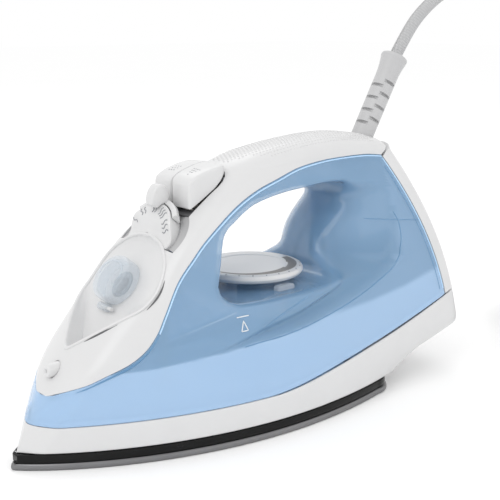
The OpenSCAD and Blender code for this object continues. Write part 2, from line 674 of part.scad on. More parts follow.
plug_dip = 12;
plug_yaw = 10.8;
module plug_frame(s) {
    translate(plug_tail) rotate([0, -90 - plug_dip, -plug_yaw]) translate([0, 0, s]) children();
}
tail_route = [[258, -89.8, 28], [252, -88.7, 30.2], [246.5, -87.4, 31.7], plug_tail];
module cord_tail() { color(white) tube(smooth_path(tail_route, 6), cord_d / 2, 10); }
module plug_body() {
    color(white) difference() {
        plug_frame(0.5) rotate_extrude() polygon([[0, 0], [4.4, 0], [6, 20], [9, 27], [15, 34], [19, 37],
            [19, 52], [17.5, 53], [0, 53]]);
        for (side = [-1, 1]) plug_frame(54) translate([0, 19 * side, -18]) cylinder(d = 5, h = 19);
    }
}
module plug_pins() {
    color(silver) plug_frame(53.6) for (x = [-9.5, 9.5]) translate([0, x, 0]) cylinder(d = 4.8, h = 19);
}

soleplate();
sole_casting();
heating_element();
element_terminals();
steam_chamber_cover();
chamber_screws();
heat_shield();
base_housing();
tank_floor();
tank_floor_screws();
water_tank();
handle_cover();
rear_cover();
rear_cover_screw();
filler_tray();
filler_neck();
filler_cap();
cap_hinge_pin();
spray_nozzle();
spray_hose();
spray_button();
spray_piston();
spray_pump();
spray_spring();
steam_button();
steam_piston();
steam_pump();
steam_spring();
steam_hose();
slider_collar();
steam_slider();
slider_pivot();
valve_rod();
valve_seat();
temperature_dial();
dial_shaft();
dial_collar();
shaft_tunnel();
thermostat();
thermal_fuse();
pilot_lens();
pilot_lamp();
cord_guide();
guide_socket();
cord_clamp();
clamp_screws();
terminal_block();
lead_wires();
cord_tube();
cord_coil();
cord_tail();
cord_tie();
plug_body();
plug_pins();
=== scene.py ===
import math

import bmesh
import bpy
import numpy as np
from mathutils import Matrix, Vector
from mathutils.bvhtree import BVHTree


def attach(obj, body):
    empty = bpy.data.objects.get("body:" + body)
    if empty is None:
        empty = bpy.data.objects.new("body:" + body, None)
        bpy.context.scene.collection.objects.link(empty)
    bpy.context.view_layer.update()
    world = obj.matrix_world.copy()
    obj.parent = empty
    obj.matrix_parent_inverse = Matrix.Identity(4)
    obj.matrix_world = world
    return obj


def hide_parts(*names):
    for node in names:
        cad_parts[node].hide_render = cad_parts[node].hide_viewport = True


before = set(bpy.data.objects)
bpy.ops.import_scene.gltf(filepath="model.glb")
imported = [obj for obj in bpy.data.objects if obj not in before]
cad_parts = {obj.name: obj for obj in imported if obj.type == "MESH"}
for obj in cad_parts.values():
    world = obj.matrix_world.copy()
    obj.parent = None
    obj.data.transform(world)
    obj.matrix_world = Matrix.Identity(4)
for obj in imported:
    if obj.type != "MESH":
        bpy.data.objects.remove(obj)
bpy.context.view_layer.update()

# ---- Studio: a pale floor, a white surround and three soft lights ----
# The camera stands low on the iron's right-hand side and looks slightly down at its nose.

scene = bpy.context.scene
scene.view_settings.view_transform = "Standard"


def look(azimuth, elevation):
    """Unit vector from the object towards a viewer; azimuth 0 is straight in front of the -Y side."""
    a, e = math.radians(azimuth), math.radians(elevation)
    return Vector((math.sin(a) * math.cos(e), -math.cos(a) * math.cos(e), math.sin(e)))


aim = Vector((0.0102, 0, 0.0826))
towards_camera = look(-41, 13.5)
camera = bpy.data.objects.new("camera", bpy.data.cameras.new("camera"))
camera.data.lens = 69.9
camera.data.sensor_width = 36
camera.data.clip_start = 0.02
camera.location = aim + towards_camera * 0.5282
camera.rotation_mode = "QUATERNION"
camera.rotation_quaternion = (-towards_camera).to_track_quat("-Z", "Y")
scene.collection.objects.link(camera)
scene.camera = camera


def soft_light(name, azimuth, elevation, distance, size, power):
    """A square area light that stands off at an angle and faces the iron."""
    lamp = bpy.data.lights.new(name, "AREA")
    lamp.size, lamp.energy = size, power
    o = bpy.data.objects.new(name, lamp)
    direction = look(azimuth, elevation)
    o.location = aim + direction * distance
    o.rotation_mode = "QUATERNION"
    o.rotation_quaternion = (-direction).to_track_quat("-Z", "Y")
    scene.collection.objects.link(o)


soft_light("key_light", -75, 50, 1.3, 0.9, 3)
soft_light("fill_light", 20, 25, 1.6, 1.0, 1.5)
soft_light("back_light", 150, 55, 1.4, 0.8, 2)
world = bpy.data.worlds.new("white_surround")
world.use_nodes = True
world.node_tree.nodes["Background"].inputs["Color"].default_value = (1, 1, 1, 1)
world.node_tree.nodes["Background"].inputs["Strength"].default_value = 1.0
scene.world = world


def link(tree, source, target):
    """Joins two sockets of one node tree."""
    tree.links.new(source, target)


def finish_material(name, colour, roughness, second=None, mottle=60, grain=1500, bump=0.03, **sockets):
    """A moulded or metal finish: a colour that wanders a little towards a second one, and a fine surface grain.

    mottle and grain are noise scales per metre on Object coordinates; bump is the grain's height in millimetres."""
    m = bpy.data.materials.new(name)
    m.use_nodes = True
    tree = m.node_tree
    nodes = tree.nodes
    shader = nodes["Principled BSDF"]
    place = nodes.new("ShaderNodeTexCoord")
    wander = nodes.new("ShaderNodeTexNoise")
    wander.inputs["Scale"].default_value = mottle
    wander.inputs["Detail"].default_value = 3
    ramp = nodes.new("ShaderNodeValToRGB")
    ramp.color_ramp.elements[0].position = 0.35
    ramp.color_ramp.elements[1].position = 0.7
    ramp.color_ramp.elements[0].color = (*colour, 1)
    ramp.color_ramp.elements[1].color = (*(second or [c * 0.96 for c in colour]), 1)
    link(tree, place.outputs["Object"], wander.inputs["Vector"])
    link(tree, wander.outputs["Fac"], ramp.inputs["Fac"])
    link(tree, ramp.outputs["Color"], shader.inputs["Base Color"])
    shader.inputs["Roughness"].default_value = roughness
    fine = nodes.new("ShaderNodeTexNoise")
    fine.inputs["Scale"].default_value = grain
    fine.inputs["Detail"].default_value = 2
    lift = nodes.new("ShaderNodeBump")
    lift.inputs["Strength"].default_value = 0.6
    lift.inputs["Distance"].default_value = bump * 0.001
    link(tree, place.outputs["Object"], fine.inputs["Vector"])
    link(tree, fine.outputs["Fac"], lift.inputs["Height"])
    link(tree, lift.outputs["Normal"], shader.inputs["Normal"])
    for socket, value in sockets.items():
        shader.inputs[socket.replace("_", " ")].default_value = value
    return m


floor_mesh = bpy.data.meshes.new("floor")
floor_mesh.from_pydata([(-6, -6, 0), (6, -6, 0), (6, 6, 0), (-6, 6, 0)], [], [(0, 1, 2, 3)])
floor = bpy.data.objects.new("floor", floor_mesh)
floor_mesh.materials.append(finish_material("floor_paper", (0.995, 0.995, 0.995), 0.9, (0.99, 0.99, 0.99),
                                          mottle=5, bump=0.02, Specular_IOR_Level=0.0))
scene.collection.objects.link(floor)

# ---- Mains cord: braided flex from the guide to a tied coil behind the heel, with its plug ----
# 7.5 mm flex under a woven cotton jacket. It rises out of the guide, bows over and comes down to the table,
# where five and a quarter turns are tied in a coil and the plug rests against it.

mm = 0.001


def smooth_through(points, steps):
    """Catmull-Rom curve through the points, with steps short chords between each pair."""
    p = np.vstack([points[:1], points, points[-1:]])
    t = np.linspace(0, 1, steps, endpoint=False)[:, None]
    a, b, c, d = p[:-3, None], p[1:-2, None], p[2:-1, None], p[3:, None]
    bends = 0.5 * (2 * b + (c - a) * t + (2 * a - 5 * b + 4 * c - d) * t**2 + (3 * b - a - 3 * c + d) * t**3)
    return np.vstack([bends.reshape(-1, p.shape[1]), points[-1:]])


def evenly(path, count):
    """The same path as count points at equal distances."""
    run = np.r_[0, np.cumsum(np.linalg.norm(np.diff(path, axis=0), axis=1))]
    at = np.linspace(0, run[-1], count)
    return np.stack([np.interp(at, run, path[:, k]) for k in range(path.shape[1])], 1)


def step(t, start, end):
    """0 before start, 1 after end, and a smooth rise between."""
    s = np.clip((t - start) / (end - start), 0, 1)
    return s * s * (3 - 2 * s)


def make_mesh(name, points, faces):
    """A smooth-shaded mesh object from points in millimetres and a list of faces."""
    mesh = bpy.data.meshes.new(name)
    mesh.from_pydata((np.asarray(points) * mm).tolist(), [], faces)
    mesh.polygons.foreach_set("use_smooth", np.full(len(mesh.polygons), True))
    o = bpy.data.objects.new(name, mesh)
    scene.collection.objects.link(o)
    return o


def grid_faces(rows, cols, wrap_rows=False, wrap_cols=False):
    """Quads of a rows x cols grid of points, joined round at either end if asked."""
    i = np.arange(rows if wrap_rows else rows - 1)[:, None]
    j = np.arange(cols if wrap_cols else cols - 1)[None, :]
    i1, j1 = (i + 1) % rows, (j + 1) % cols
    return np.stack([i * cols + j, i1 * cols + j, i1 * cols + j1, i * cols + j1], -1).reshape(-1, 4)


def add_uv(o, rows, cols, wrap_cols, length):
    """UV map of a swept grid: u once round, v in metres along its length."""
    mesh = o.data
    corner = np.zeros(len(mesh.loops), int)
    mesh.loops.foreach_get("vertex_index", corner)
    row, col = corner // cols, corner % cols
    first_col = np.repeat(np.array([p.loop_start for p in mesh.polygons]), [p.loop_total for p in mesh.polygons])
    turned = wrap_cols & (col == 0) & (corner[first_col] % cols == cols - 1)
    u = np.where(turned, cols, col) / cols
    v = row / (rows - 1) * length
    mesh.uv_layers.new(name="along").data.foreach_set("uv", np.stack([u, v], 1).astype(np.float32).ravel())


def sweep(name, path, radii, sides):
    """A round tube: at each point of the path a ring of the given radius stands square to the path.

    The rings' frames are carried along without twist, and the two ends are closed by flat caps."""
    path = np.asarray(path, float)
    radii = np.broadcast_to(radii, len(path))
    d = np.gradient(path, axis=0)
    d /= np.linalg.norm(d, axis=1)[:, None]
    across = np.zeros_like(path)
    a = np.cross(d[0], [0.0, 1.0, 0.0] if abs(d[0][1]) < 0.9 else [1.0, 0.0, 0.0])
    for k in range(len(path)):
        a = a - (a @ d[k]) * d[k]
        a /= np.linalg.norm(a)
        across[k] = a
    other = np.cross(d, across)
    w = np.linspace(0, 2 * np.pi, sides, endpoint=False)
    rings = path[:, None] + radii[:, None, None] * (
        np.cos(w)[None, :, None] * across[:, None] + np.sin(w)[None, :, None] * other[:, None])
    n = len(path)
    faces = grid_faces(n, sides, wrap_cols=True)[:, ::-1].tolist()
    faces += [list(range(sides)), list(range(n * sides - 1, (n - 1) * sides - 1, -1))]
    return make_mesh(name, rings.reshape(-1, 3), faces)


cord_d = 7.5
guide_base = np.array([97, 0, 137.5])
guide_lean = math.radians(31)
guide_len = 53
guide_dir = np.array([math.sin(guide_lean), 0, math.cos(guide_lean)])
cord_exit = guide_base + guide_dir * (guide_len + 0.3)
cord_route = [cord_exit, [142.5, 0, 204.5], [166, 0, 219.5], [193.5, 0, 226.5], [221.5, 0, 224.5],
              [248, 0, 213.5], [270, 0, 196], [286, 0, 172], [295, 0, 144.5], [300.5, 0, 115],
              [305, 0, 86], [308.5, -1.5, 58], [311.5, -9, 32], [313.5, -25, 14]]
coil_mid = (268, -52)
coil_turns = 5.28
plug_tail = np.array([241, -86.3, 31])


def coil_path(turns):
    """Turns wound clockwise in three layers of two: the radius and the height each step over in turn."""
    t = np.linspace(0, turns, int(turns * 16) + 1)
    r = 46.3 - 7.6 * (step(t, 0.72, 0.95) - step(t, 2.4, 2.62) + step(t, 3.96, 4.18))
    z = 4.75 + 7.6 * (step(t, 1.58, 1.8) + step(t, 3.18, 3.4) + step(t, 4.76, 4.98))
    w = -2 * np.pi * t
    return np.stack([coil_mid[0] + r * np.cos(w), coil_mid[1] + r * np.sin(w), z], 1)


cord_points = np.vstack([cord_route, coil_path(coil_turns), [[252, -88.7, 30.2], [246.5, -87.4, 31.7]],
                         plug_tail[None]])
cord_path = evenly(smooth_through(cord_points, 12), 760)
cord_length = float(np.linalg.norm(np.diff(cord_path, axis=0), axis=1).sum() * mm)
cord_sides = 20
cord = sweep("mains_cord", cord_path, cord_d / 2, cord_sides)
add_uv(cord, len(cord_path), cord_sides, True, cord_length)


def braid_material(name, light, dark):
    """Woven jacket: two families of strands cross at an angle round the cord, one over and one under by turns."""
    m = bpy.data.materials.new(name)
    m.use_nodes = True
    tree, nodes = m.node_tree, m.node_tree.nodes
    shader = nodes["Principled BSDF"]
    uv = nodes.new("ShaderNodeUVMap")
    uv.uv_map = "along"
    split = nodes.new("ShaderNodeSeparateXYZ")
    link(tree, uv.outputs["UV"], split.inputs["Vector"])

    def math_node(kind, a, b=None):
        n = nodes.new("ShaderNodeMath")
        n.operation = kind
        for socket, value in zip(n.inputs, (a, b)):
            if value is None:
                continue
            if isinstance(value, (int, float)):
                socket.default_value = value
            else:
                link(tree, value, socket)
        return n.outputs["Value"]

    around = math_node("MULTIPLY", split.outputs["X"], 12 * 2 * math.pi)
    along = math_node("MULTIPLY", split.outputs["Y"], 2 * math.pi / 0.0036)
    left = math_node("SINE", math_node("ADD", around, along))
    right = math_node("SINE", math_node("SUBTRACT", around, along))
    over = math_node("MAXIMUM", math_node("ABSOLUTE", left), math_node("ABSOLUTE", right))
    weave = math_node("MULTIPLY", left, right)
    height = math_node("ADD", over, math_node("MULTIPLY", weave, 0.35))
    ramp = nodes.new("ShaderNodeValToRGB")
    ramp.color_ramp.elements[0].position = 0.35
    ramp.color_ramp.elements[1].position = 0.95
    ramp.color_ramp.elements[0].color = (*dark, 1)
    ramp.color_ramp.elements[1].color = (*light, 1)
    link(tree, height, ramp.inputs["Fac"])
    link(tree, ramp.outputs["Color"], shader.inputs["Base Color"])
    lift = nodes.new("ShaderNodeBump")
    lift.inputs["Strength"].default_value = 0.8
    lift.inputs["Distance"].default_value = 0.0005
    link(tree, height, lift.inputs["Height"])
    link(tree, lift.outputs["Normal"], shader.inputs["Normal"])
    shader.inputs["Roughness"].default_value = 0.75
    shader.inputs["Sheen Weight"].default_value = 0.3
    return m


cord.data.materials.append(braid_material("cord_braid", (0.6, 0.6, 0.605), (0.33, 0.335, 0.345)))
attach(cord, "root")
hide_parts("cord_tube", "cord_coil", "cord_tail")


def dress(o, material):
    """The piece's one material."""
    o.data.materials.clear()
    o.data.materials.append(material)


def revolve(name, profile, origin, axis, sides, closed=True):
    """A turned shape: the profile's (radius, height) points are carried round the axis through origin."""
    profile = np.asarray(profile, float)
    axis = np.asarray(axis, float) / np.linalg.norm(axis)
    a = np.cross(axis, [0, 1, 0] if abs(axis[1]) < 0.9 else [1, 0, 0])
    a /= np.linalg.norm(a)
    b = np.cross(axis, a)
    w = np.linspace(0, 2 * np.pi, sides, endpoint=False)
    ring = np.cos(w)[:, None] * a + np.sin(w)[:, None] * b
    pts = np.asarray(origin, float) + profile[:, 0][:, None, None] * ring[None] + (
        profile[:, 1][:, None, None] * axis)
    n = len(profile)
    faces = grid_faces(n, sides, wrap_cols=True)[:, ::-1].tolist()
    if closed:
        faces += [list(range(sides)), list(range(n * sides - 1, (n - 1) * sides - 1, -1))]
    return make_mesh(name, pts.reshape(-1, 3), faces)


def tidy(o, angle=35):
    """Merges doubles, turns the faces outwards and keeps edges sharper than angle crisp."""
    bm = bmesh.new()
    bm.from_mesh(o.data)
    bmesh.ops.remove_doubles(bm, verts=bm.verts, dist=1e-6)
    bmesh.ops.dissolve_degenerate(bm, edges=bm.edges, dist=1e-7)
    bmesh.ops.recalc_face_normals(bm, faces=bm.faces)
    bm.to_mesh(o.data)
    bm.free()
    o.data.polygons.foreach_set("use_smooth", np.full(len(o.data.polygons), True))
    o.data.set_sharp_from_angle(angle=math.radians(angle))
    return o


plug_dip, plug_yaw = math.radians(12), math.radians(10.8)
plug_axis = np.array([-math.cos(plug_dip) * math.cos(plug_yaw), math.cos(plug_dip) * math.sin(plug_yaw),
                      -math.sin(plug_dip)])
s = np.linspace(0, 1, 60)
grip = 4.4 + 1.6 * step(s, 0, 0.5) + 3 * step(s, 0.5, 0.72) + 9.4 * step(s, 0.62, 1) + 0.35 * np.sin(
    s * 2 * np.pi * 9) * (s < 0.62)
head = [[18.9, 38], [19, 39], [19, 51.4], [18.6, 52.6], [17.5, 53], [0.5, 53]]
plug_profile = np.vstack([[[0.5, 0.2]], np.stack([grip, 0.2 + 37 * s], 1), head])
plug = tidy(revolve("plug_shell", plug_profile, plug_tail, plug_axis, 64))
plug.data.materials.append(finish_material("plug_plastic", (0.64, 0.64, 0.645), 0.35, bump=0.02))
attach(plug, "root")
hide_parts("plug_body")

white_plastic = finish_material("white_plastic", (0.66, 0.66, 0.663), 0.3, (0.645, 0.645, 0.648), bump=0.012,
                                Coat_Weight=0.35, Coat_Roughness=0.12)
tie_plastic = finish_material("tie_black", (0.02, 0.02, 0.02), 0.45, (0.04, 0.04, 0.04), bump=0.05)
metal = finish_material("pin_metal", (0.72, 0.72, 0.74), 0.25, (0.6, 0.6, 0.62), Metallic=1.0)


def paint(material, *names):
    """Gives CAD nodes a material in every slot that they have."""
    for name in names:
        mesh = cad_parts[name].data
        if not mesh.materials:
            mesh.materials.append(material)
        for k in range(len(mesh.materials)):
            mesh.materials[k] = material


paint(tie_plastic, "cord_tie")
paint(metal, "plug_pins")

# ---- Soleplate: cast aluminium plate with a rolled rim and rows of steam vents ----
# 217 mm long and 111 mm wide, 3.2 mm thick at the rim. Each vent is drilled through and countersunk below.

nose_reach, sole_wide_x, sole_rear_x = 137.5, 8, 79
sole_half_w, sole_rear_half, rear_corner = 55.5, 46, 16
sole_t = 3.2


def sole_half(x):
    """Half-width of the plate: a rounded arrow ahead of its widest place, a shallow parabola behind it."""
    ahead = np.clip(1 - ((sole_wide_x - x) / (sole_wide_x + nose_reach)) ** 2, 0, 1) ** 0.85
    behind = ((x - sole_wide_x) / (sole_rear_x - sole_wide_x)) ** 2
    return np.where(x < sole_wide_x, sole_half_w * ahead, sole_half_w - (sole_half_w - sole_rear_half) * behind)


def sole_outline(inset, count=150):
    """The plate's outline moved inwards: both sides, each ending in a quarter-round rear corner."""
    corner = sole_rear_x - rear_corner
    s = np.linspace(0, 1, count)
    x = (-nose_reach + 2.2 * inset) * np.cos(s * np.pi / 2) + corner * (1 - np.cos(s * np.pi / 2))
    y = np.maximum(sole_half(x), 0.01)
    y = y * y / (y + inset)
    w = np.linspace(0, np.pi / 2, 19)[1:]
    r, h = rear_corner - inset / 2, float(sole_half(np.array(corner)))
    side = np.vstack([np.stack([x, -y], 1),
                      np.stack([corner + (r - inset / 2) * np.sin(w),
                                -(h * h / (h + inset) - r * (1 - np.cos(w)))], 1)])
    return np.vstack([side, (side * [1, -1])[:0:-1]])


def layered(name, levels, hollow=False):
    """A solid of the plate's outline: one ring for each (inset, height); a hollow one closes from last to first."""
    rings = np.stack([np.c_[sole_outline(inset), np.full(len(sole_outline(inset)), z)] for inset, z in levels])
    n, cols = rings.shape[:2]
    faces = grid_faces(n, cols, wrap_rows=hollow, wrap_cols=True).tolist()
    if not hollow:
        faces += [list(range(cols)), list(range(n * cols - 1, (n - 1) * cols - 1, -1))]
    return tidy(make_mesh(name, rings.reshape(-1, 3), faces))


def cut(o, *cutters):
    """Takes the cutters' shapes out of the piece for good, and removes them."""
    for cutter in cutters:
        m = o.modifiers.new("cut", "BOOLEAN")
        m.operation, m.solver, m.object = "DIFFERENCE", "MANIFOLD", cutter
    bpy.context.view_layer.update()
    mesh = bpy.data.meshes.new_from_object(o.evaluated_get(bpy.context.evaluated_depsgraph_get()))
    o.modifiers.clear()
    o.data = mesh
    mesh.name = o.name
    for cutter in cutters:
        bpy.data.objects.remove(cutter)
    return o


def sharpen(o, angle=32):
    """Smooth shading with crisp edges where two faces meet at more than angle degrees."""
    o.data.polygons.foreach_set("use_smooth", np.full(len(o.data.polygons), True))
    o.data.set_sharp_from_angle(angle=math.radians(angle))
    return o


soleplate = layered("sole", [(1.6, 0), (0.7, 0.12), (0.2, 0.5), (0, 1.1), (0, 2.1), (0.25, 2.8), (0.9, sole_t)])
vents = [(-104, 4), (-92, 9), (-78, 15), (-62, 21), (-44, 26), (-24, 30), (-4, 32), (16, 32)]
vents = np.array([(x, side * y, 0) for x, y in vents for side in (-1, 1)], float)


def drills(name, profile, places, sides=20):
    """Turned cutters, one at each place, with the same (radius, height) profile about Z."""
    made = [revolve(f"{name}_{k}", profile, p, (0, 0, 1), sides) for k, p in enumerate(places)]
    return [tidy(o) for o in made]


soleplate = sharpen(cut(soleplate, *drills("vent", [[2.6, -0.5], [2.6, 0], [1.5, 1], [1.5, 4]], vents)))
sole_metal = finish_material("aluminium_sole", (0.23, 0.23, 0.235), 0.3, (0.19, 0.19, 0.195), mottle=25,
                             grain=2500, bump=0.01, Metallic=0.85)
dress(soleplate, sole_metal)
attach(soleplate, "root")
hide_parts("soleplate")

# ---- Heater casting under the covers ----
# Die-cast aluminium with the tubular element, its terminals, the steam chamber's cover and its screws.

cast = finish_material("cast_aluminium", (0.55, 0.55, 0.56), 0.5, (0.42, 0.42, 0.43), grain=900, bump=0.08,
                       Metallic=0.9)
steel = finish_material("element_steel", (0.35, 0.34, 0.33), 0.4, (0.25, 0.22, 0.2), Metallic=1.0)
brass = finish_material("brass_parts", (0.72, 0.55, 0.24), 0.3, (0.6, 0.44, 0.18), Metallic=1.0)
screw = finish_material("screw_steel", (0.6, 0.6, 0.61), 0.3, (0.5, 0.5, 0.51), Metallic=1.0)
paint(cast, "sole_casting", "steam_chamber_cover")
paint(steel, "heating_element", "thermostat", "spray_spring", "steam_spring", "dial_shaft", "slider_pivot")
paint(brass, "element_terminals", "valve_rod", "lead_wires")
paint(screw, "chamber_screws", "tank_floor_screws", "clamp_screws", "rear_cover_screw")

# ---- Heat skirt: black glossy ring between the hot plate and the housing ----
# Moulded in heat-proof resin, 4.5 mm high and set in a millimetre from the plate's rim.

skirt = layered("skirt", [(6.5, 3.3), (1.7, 3.3), (1.15, 3.5), (1, 4), (1, 7.1), (1.2, 7.6), (1.7, 7.8), (6.5, 7.8)],
                hollow=True)
skirt.data.materials.append(finish_material("skirt_black", (0.004, 0.004, 0.004), 0.22, (0.006, 0.006, 0.006),
                                            bump=0.006, Specular_IOR_Level=0.2))
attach(skirt, "root")
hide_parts("heat_shield")

# ---- Lower housing: white bowl whose rear sweeps up under the heel ----
# One 2.4 mm moulding. Its walls lie on the iron's common outer surface, half(x, z).

skirt_top, wall, seam = 8, 2.4, 0.3
grip_z, grip_half = 130, 18


def nose_x(z):
    """The nose ridge leans back with height."""
    return -nose_reach + 0.38 * z + 0.004 * z * z


def back_x(z):
    """The heel stands upright at first and then leans forward."""
    return 137.5 - 0.0038 * np.maximum(0, z - 44) ** 2


def flank(x, z):
    """Half-width before the nose and heel are rounded: from the plate's width below to the grip's above."""
    base = np.where(x < sole_wide_x, sole_half(x) - 1, sole_half_w - 1 + 1.5 * ((x - sole_wide_x) / 122) ** 2)
    rise = np.clip((z - skirt_top) / (grip_z - skirt_top), 0, 1)
    tuck = np.clip(1 - (z - skirt_top) / 26, 0, 1) ** 1.5 * (base - sole_half(np.minimum(x, 100)) + 1)
    return base - (base - grip_half) * rise**1.35 - np.where(x < sole_wide_x, 0, tuck)


def half(x, z):
    """Half-width of the iron: the flank, closed by a round nose 9 mm deep and a fuller heel 16 mm deep."""
    d = np.clip((x - nose_x(z)) / 9, 0, 1)
    nose = np.sqrt(1 - (1 - d) ** 2)
    e = np.clip((x - back_x(z) + 16) / 16, 0, 1)
    return flank(x, z) * nose * (1 - e**3.5) ** (1 / 3.5)


def band_edge(x):
    """Height of the line where the blue tank meets the white housing."""
    return 21 + 26.3 * (np.maximum(0, x + 20) / 142) ** 1.4


def under_edge(x):
    """Height of the housing's lower edge: level over the plate, then swept up under the heel."""
    return np.where(x < sole_rear_x, skirt_top, skirt_top + 23.5 * (np.maximum(0, x - sole_rear_x) / 55) ** 0.75)


def rounded(d, radius):
    """How far a surface falls back at distance d from its edge, for a quarter-round edge of that radius."""
    t = np.clip(1 - d / radius, 0, 1)
    return radius * (1 - np.sqrt(1 - t * t))


def shell(o, thickness=wall):
    """Gives an outer surface its wall, inwards."""
    m = o.modifiers.new("wall", "SOLIDIFY")
    m.thickness, m.offset, m.use_even_offset = thickness * mm, -1, False
    bpy.context.view_layer.update()
    mesh = bpy.data.meshes.new_from_object(o.evaluated_get(bpy.context.evaluated_depsgraph_get()))
    o.modifiers.clear()
    o.data = mesh
    mesh.name = o.name
    return o


around = 220
g = (1 - np.cos(np.pi * np.r_[np.arange(around + 1), np.arange(around - 1, 0, -1)] / around)) / 2
side_sign = np.r_[-np.ones(around), 1, np.ones(around - 1)]
edge_x = -nose_reach + 2 * nose_reach * g
climb = np.r_[0, 0.01, 0.025, 0.05, np.linspace(0.1, 0.92, 12), 0.95, 0.975, 0.99, 1]
low, high = under_edge(edge_x)[:, None], (band_edge(edge_x) - seam)[:, None]
z = low + (high - low) * climb
x = nose_x(z) * (1 - g[:, None]) + back_x(z) * g[:, None]
y = half(x, z) - rounded((1 - climb) * (high - low), 0.7) - rounded(climb * (high - low), 1.0)
y = np.maximum(y, 0)
across = np.linspace(0, 1, 8)[:-1]
floor_y = y[:, :1] * across
floor_x = np.broadcast_to(x[:, :1], floor_y.shape)
floor_z = np.broadcast_to(z[:, :1], floor_y.shape)
bowl = np.stack([np.c_[floor_x, x], np.c_[floor_y, y] * side_sign[:, None], np.c_[floor_z, z]], -1)
housing = make_mesh("lower_housing", bowl.reshape(-1, 3), grid_faces(*bowl.shape[:2], wrap_rows=True).tolist())
housing = sharpen(shell(tidy(housing)), 50)
dress(housing, white_plastic)
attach(housing, "root")
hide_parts("base_housing")

# ---- Water tank: clear blue moulding that is also the handle's inner side ----
# Runs from the band above the housing up both flanks and through the handle opening, which is a rounded tunnel.

cover_edge = np.array([[-120, 33.5], [-112, 38.5], [-101, 43.5], [-89, 48.5], [-81, 54], [-75, 61], [-70, 69.5],
                       [-61.5, 83], [-51, 93], [-41, 101], [-22, 112.5], [-5, 119.5], [12, 124], [28, 128],
                       [45, 130], [60, 130.7], [80, 130.5], [94, 129]], float)
opening = np.array([[-38, 78], [-36.5, 72.5], [-29, 68], [-14, 67], [2, 67], [19, 67], [34, 67.3], [41.5, 70],
                    [43.5, 76], [45.5, 83], [49, 90], [54.5, 97], [60.5, 103.5], [65, 110.5], [61, 116.5], [48, 118],
                    [34, 117.3], [19, 116.5], [6, 115], [-6, 112.6], [-17.5, 108.5], [-27.3, 102.2], [-30.8, 97],
                    [-34.3, 87.5], [-38, 78]], float)


def along(points, t):
    """Points of a Catmull-Rom curve at shares t of its run."""
    p = np.vstack([points[:1], points, points[-1:]])
    n = len(points) - 1
    s = np.clip(t, 0, 1) * n
    i = np.minimum(n - 1, s.astype(int))
    f = (s - i)[:, None]
    a, b, c, d = p[i], p[i + 1], p[i + 2], p[i + 3]
    return 0.5 * (2 * b + (c - a) * f + (2 * a - 5 * b + 4 * c - d) * f**2 + (3 * b - a - 3 * c + d) * f**3)


corner_x, corner_top = 122, 129
s = np.linspace(0, 1, 110, endpoint=False)
band_x = nose_x(21) * np.cos(s * np.pi / 2) + corner_x * (1 - np.cos(s * np.pi / 2))
rear_z = np.linspace(band_edge(corner_x), corner_top, 50, endpoint=False)
t_top = np.linspace(1, 0, 150, endpoint=False)
front_z = np.linspace(33.5, 21, 14)[:-1]
edge = np.vstack([np.stack([band_x, band_edge(band_x)], 1), np.stack([back_x(rear_z) - 16 - seam, rear_z], 1),
                  along(cover_edge, t_top), np.stack([nose_x(front_z), front_z], 1)])
mouth_t = np.r_[0.16 + 0.11 * s, np.linspace(0.27, 0.57, 50, endpoint=False),
                np.linspace(0.57, 1, 98, endpoint=False), np.linspace(1, 1.16, 65, endpoint=False)] % 1
mouth = along(opening, mouth_t)


def inside_distance(x, z, outline):
    """Distance from each point to a closed outline in the side view, positive inside and negative outside."""
    a = outline
    b = np.roll(outline, -1, axis=0)
    ab = b - a
    px, pz = x[..., None] - a[:, 0], z[..., None] - a[:, 1]
    t = np.clip((px * ab[:, 0] + pz * ab[:, 1]) / (ab**2).sum(1), 0, 1)
    d = np.hypot(px - t * ab[:, 0], pz - t * ab[:, 1]).min(-1)
    crosses = (a[:, 1] > z[..., None]) != (b[:, 1] > z[..., None])
    at = a[:, 0] + (z[..., None] - a[:, 1]) * ab[:, 0] / np.where(ab[:, 1] == 0, 1e-9, ab[:, 1])
    return np.where((crosses & (x[..., None] < at)).sum(-1) % 2 == 1, d, -d)


scoop_low = np.array([[-78, 44.7], [-62, 45.8], [-42, 46.8], [-24.6, 48.2], [-5.7, 49], [16.3, 51.3], [47.4, 57.3],
                      [77, 66.6], [88, 73], [93, 81], [94.5, 91.5], [92, 98]], float)
scoop_high = np.array([[46, 98], [44, 86], [45.5, 76], [40, 69], [28, 65], [8, 60], [-16.5, 56], [-36, 50.7],
                       [-52, 47.6], [-78, 44.9]], float)
scoop = np.vstack([along(scoop_low, np.linspace(0, 1, 60)), along(scoop_high, np.linspace(0, 1, 50))])


def scooped(x, z):
    """Depth of the hollow from the tank's front, under the dial, to the rear pillar: sharp below, soft above."""
    d = inside_distance(x, z, scoop)
    return 3.4 * step(d, -0.4, 5) * (1 - step(z, 70, 97))


gap = np.linalg.norm(edge - mouth, axis=1)[:, None]
wide_round = step(mouth_t, 0.25, 0.36) * (1 - step(mouth_t, 0.5, 0.585))
tunnel_round = (4.5 + (0.8 * half(*mouth.T) - 4.5) * wide_round)[:, None]
tunnel_round = np.minimum(tunnel_round, 0.6 * (gap - 1.6))
tunnel_reach = tunnel_round * (1 + 0.7 * wide_round[:, None])
near = np.array([0, 0.12, 0.3, 0.6, 1.0, 1.6])
bend = np.linspace(0, np.pi / 2, 17)
d = np.hstack([np.broadcast_to(near, (len(edge), len(near))),
               near[-1] + (gap - tunnel_reach - near[-1]) * np.linspace(0, 1, 42)[None, 1:-1],
               gap - tunnel_reach * (1 - np.sin(bend))[None]])
share = d / gap
x = edge[:, :1] + (mouth - edge)[:, :1] * share
z = edge[:, 1:] + (mouth - edge)[:, 1:] * share
y = half(x, z) - rounded(gap - d, tunnel_reach) * tunnel_round / tunnel_reach
y = y - rounded(d, 0.6) * (x > nose_x(z) + 2) - scooped(x, z)
y = np.maximum(y, 0)
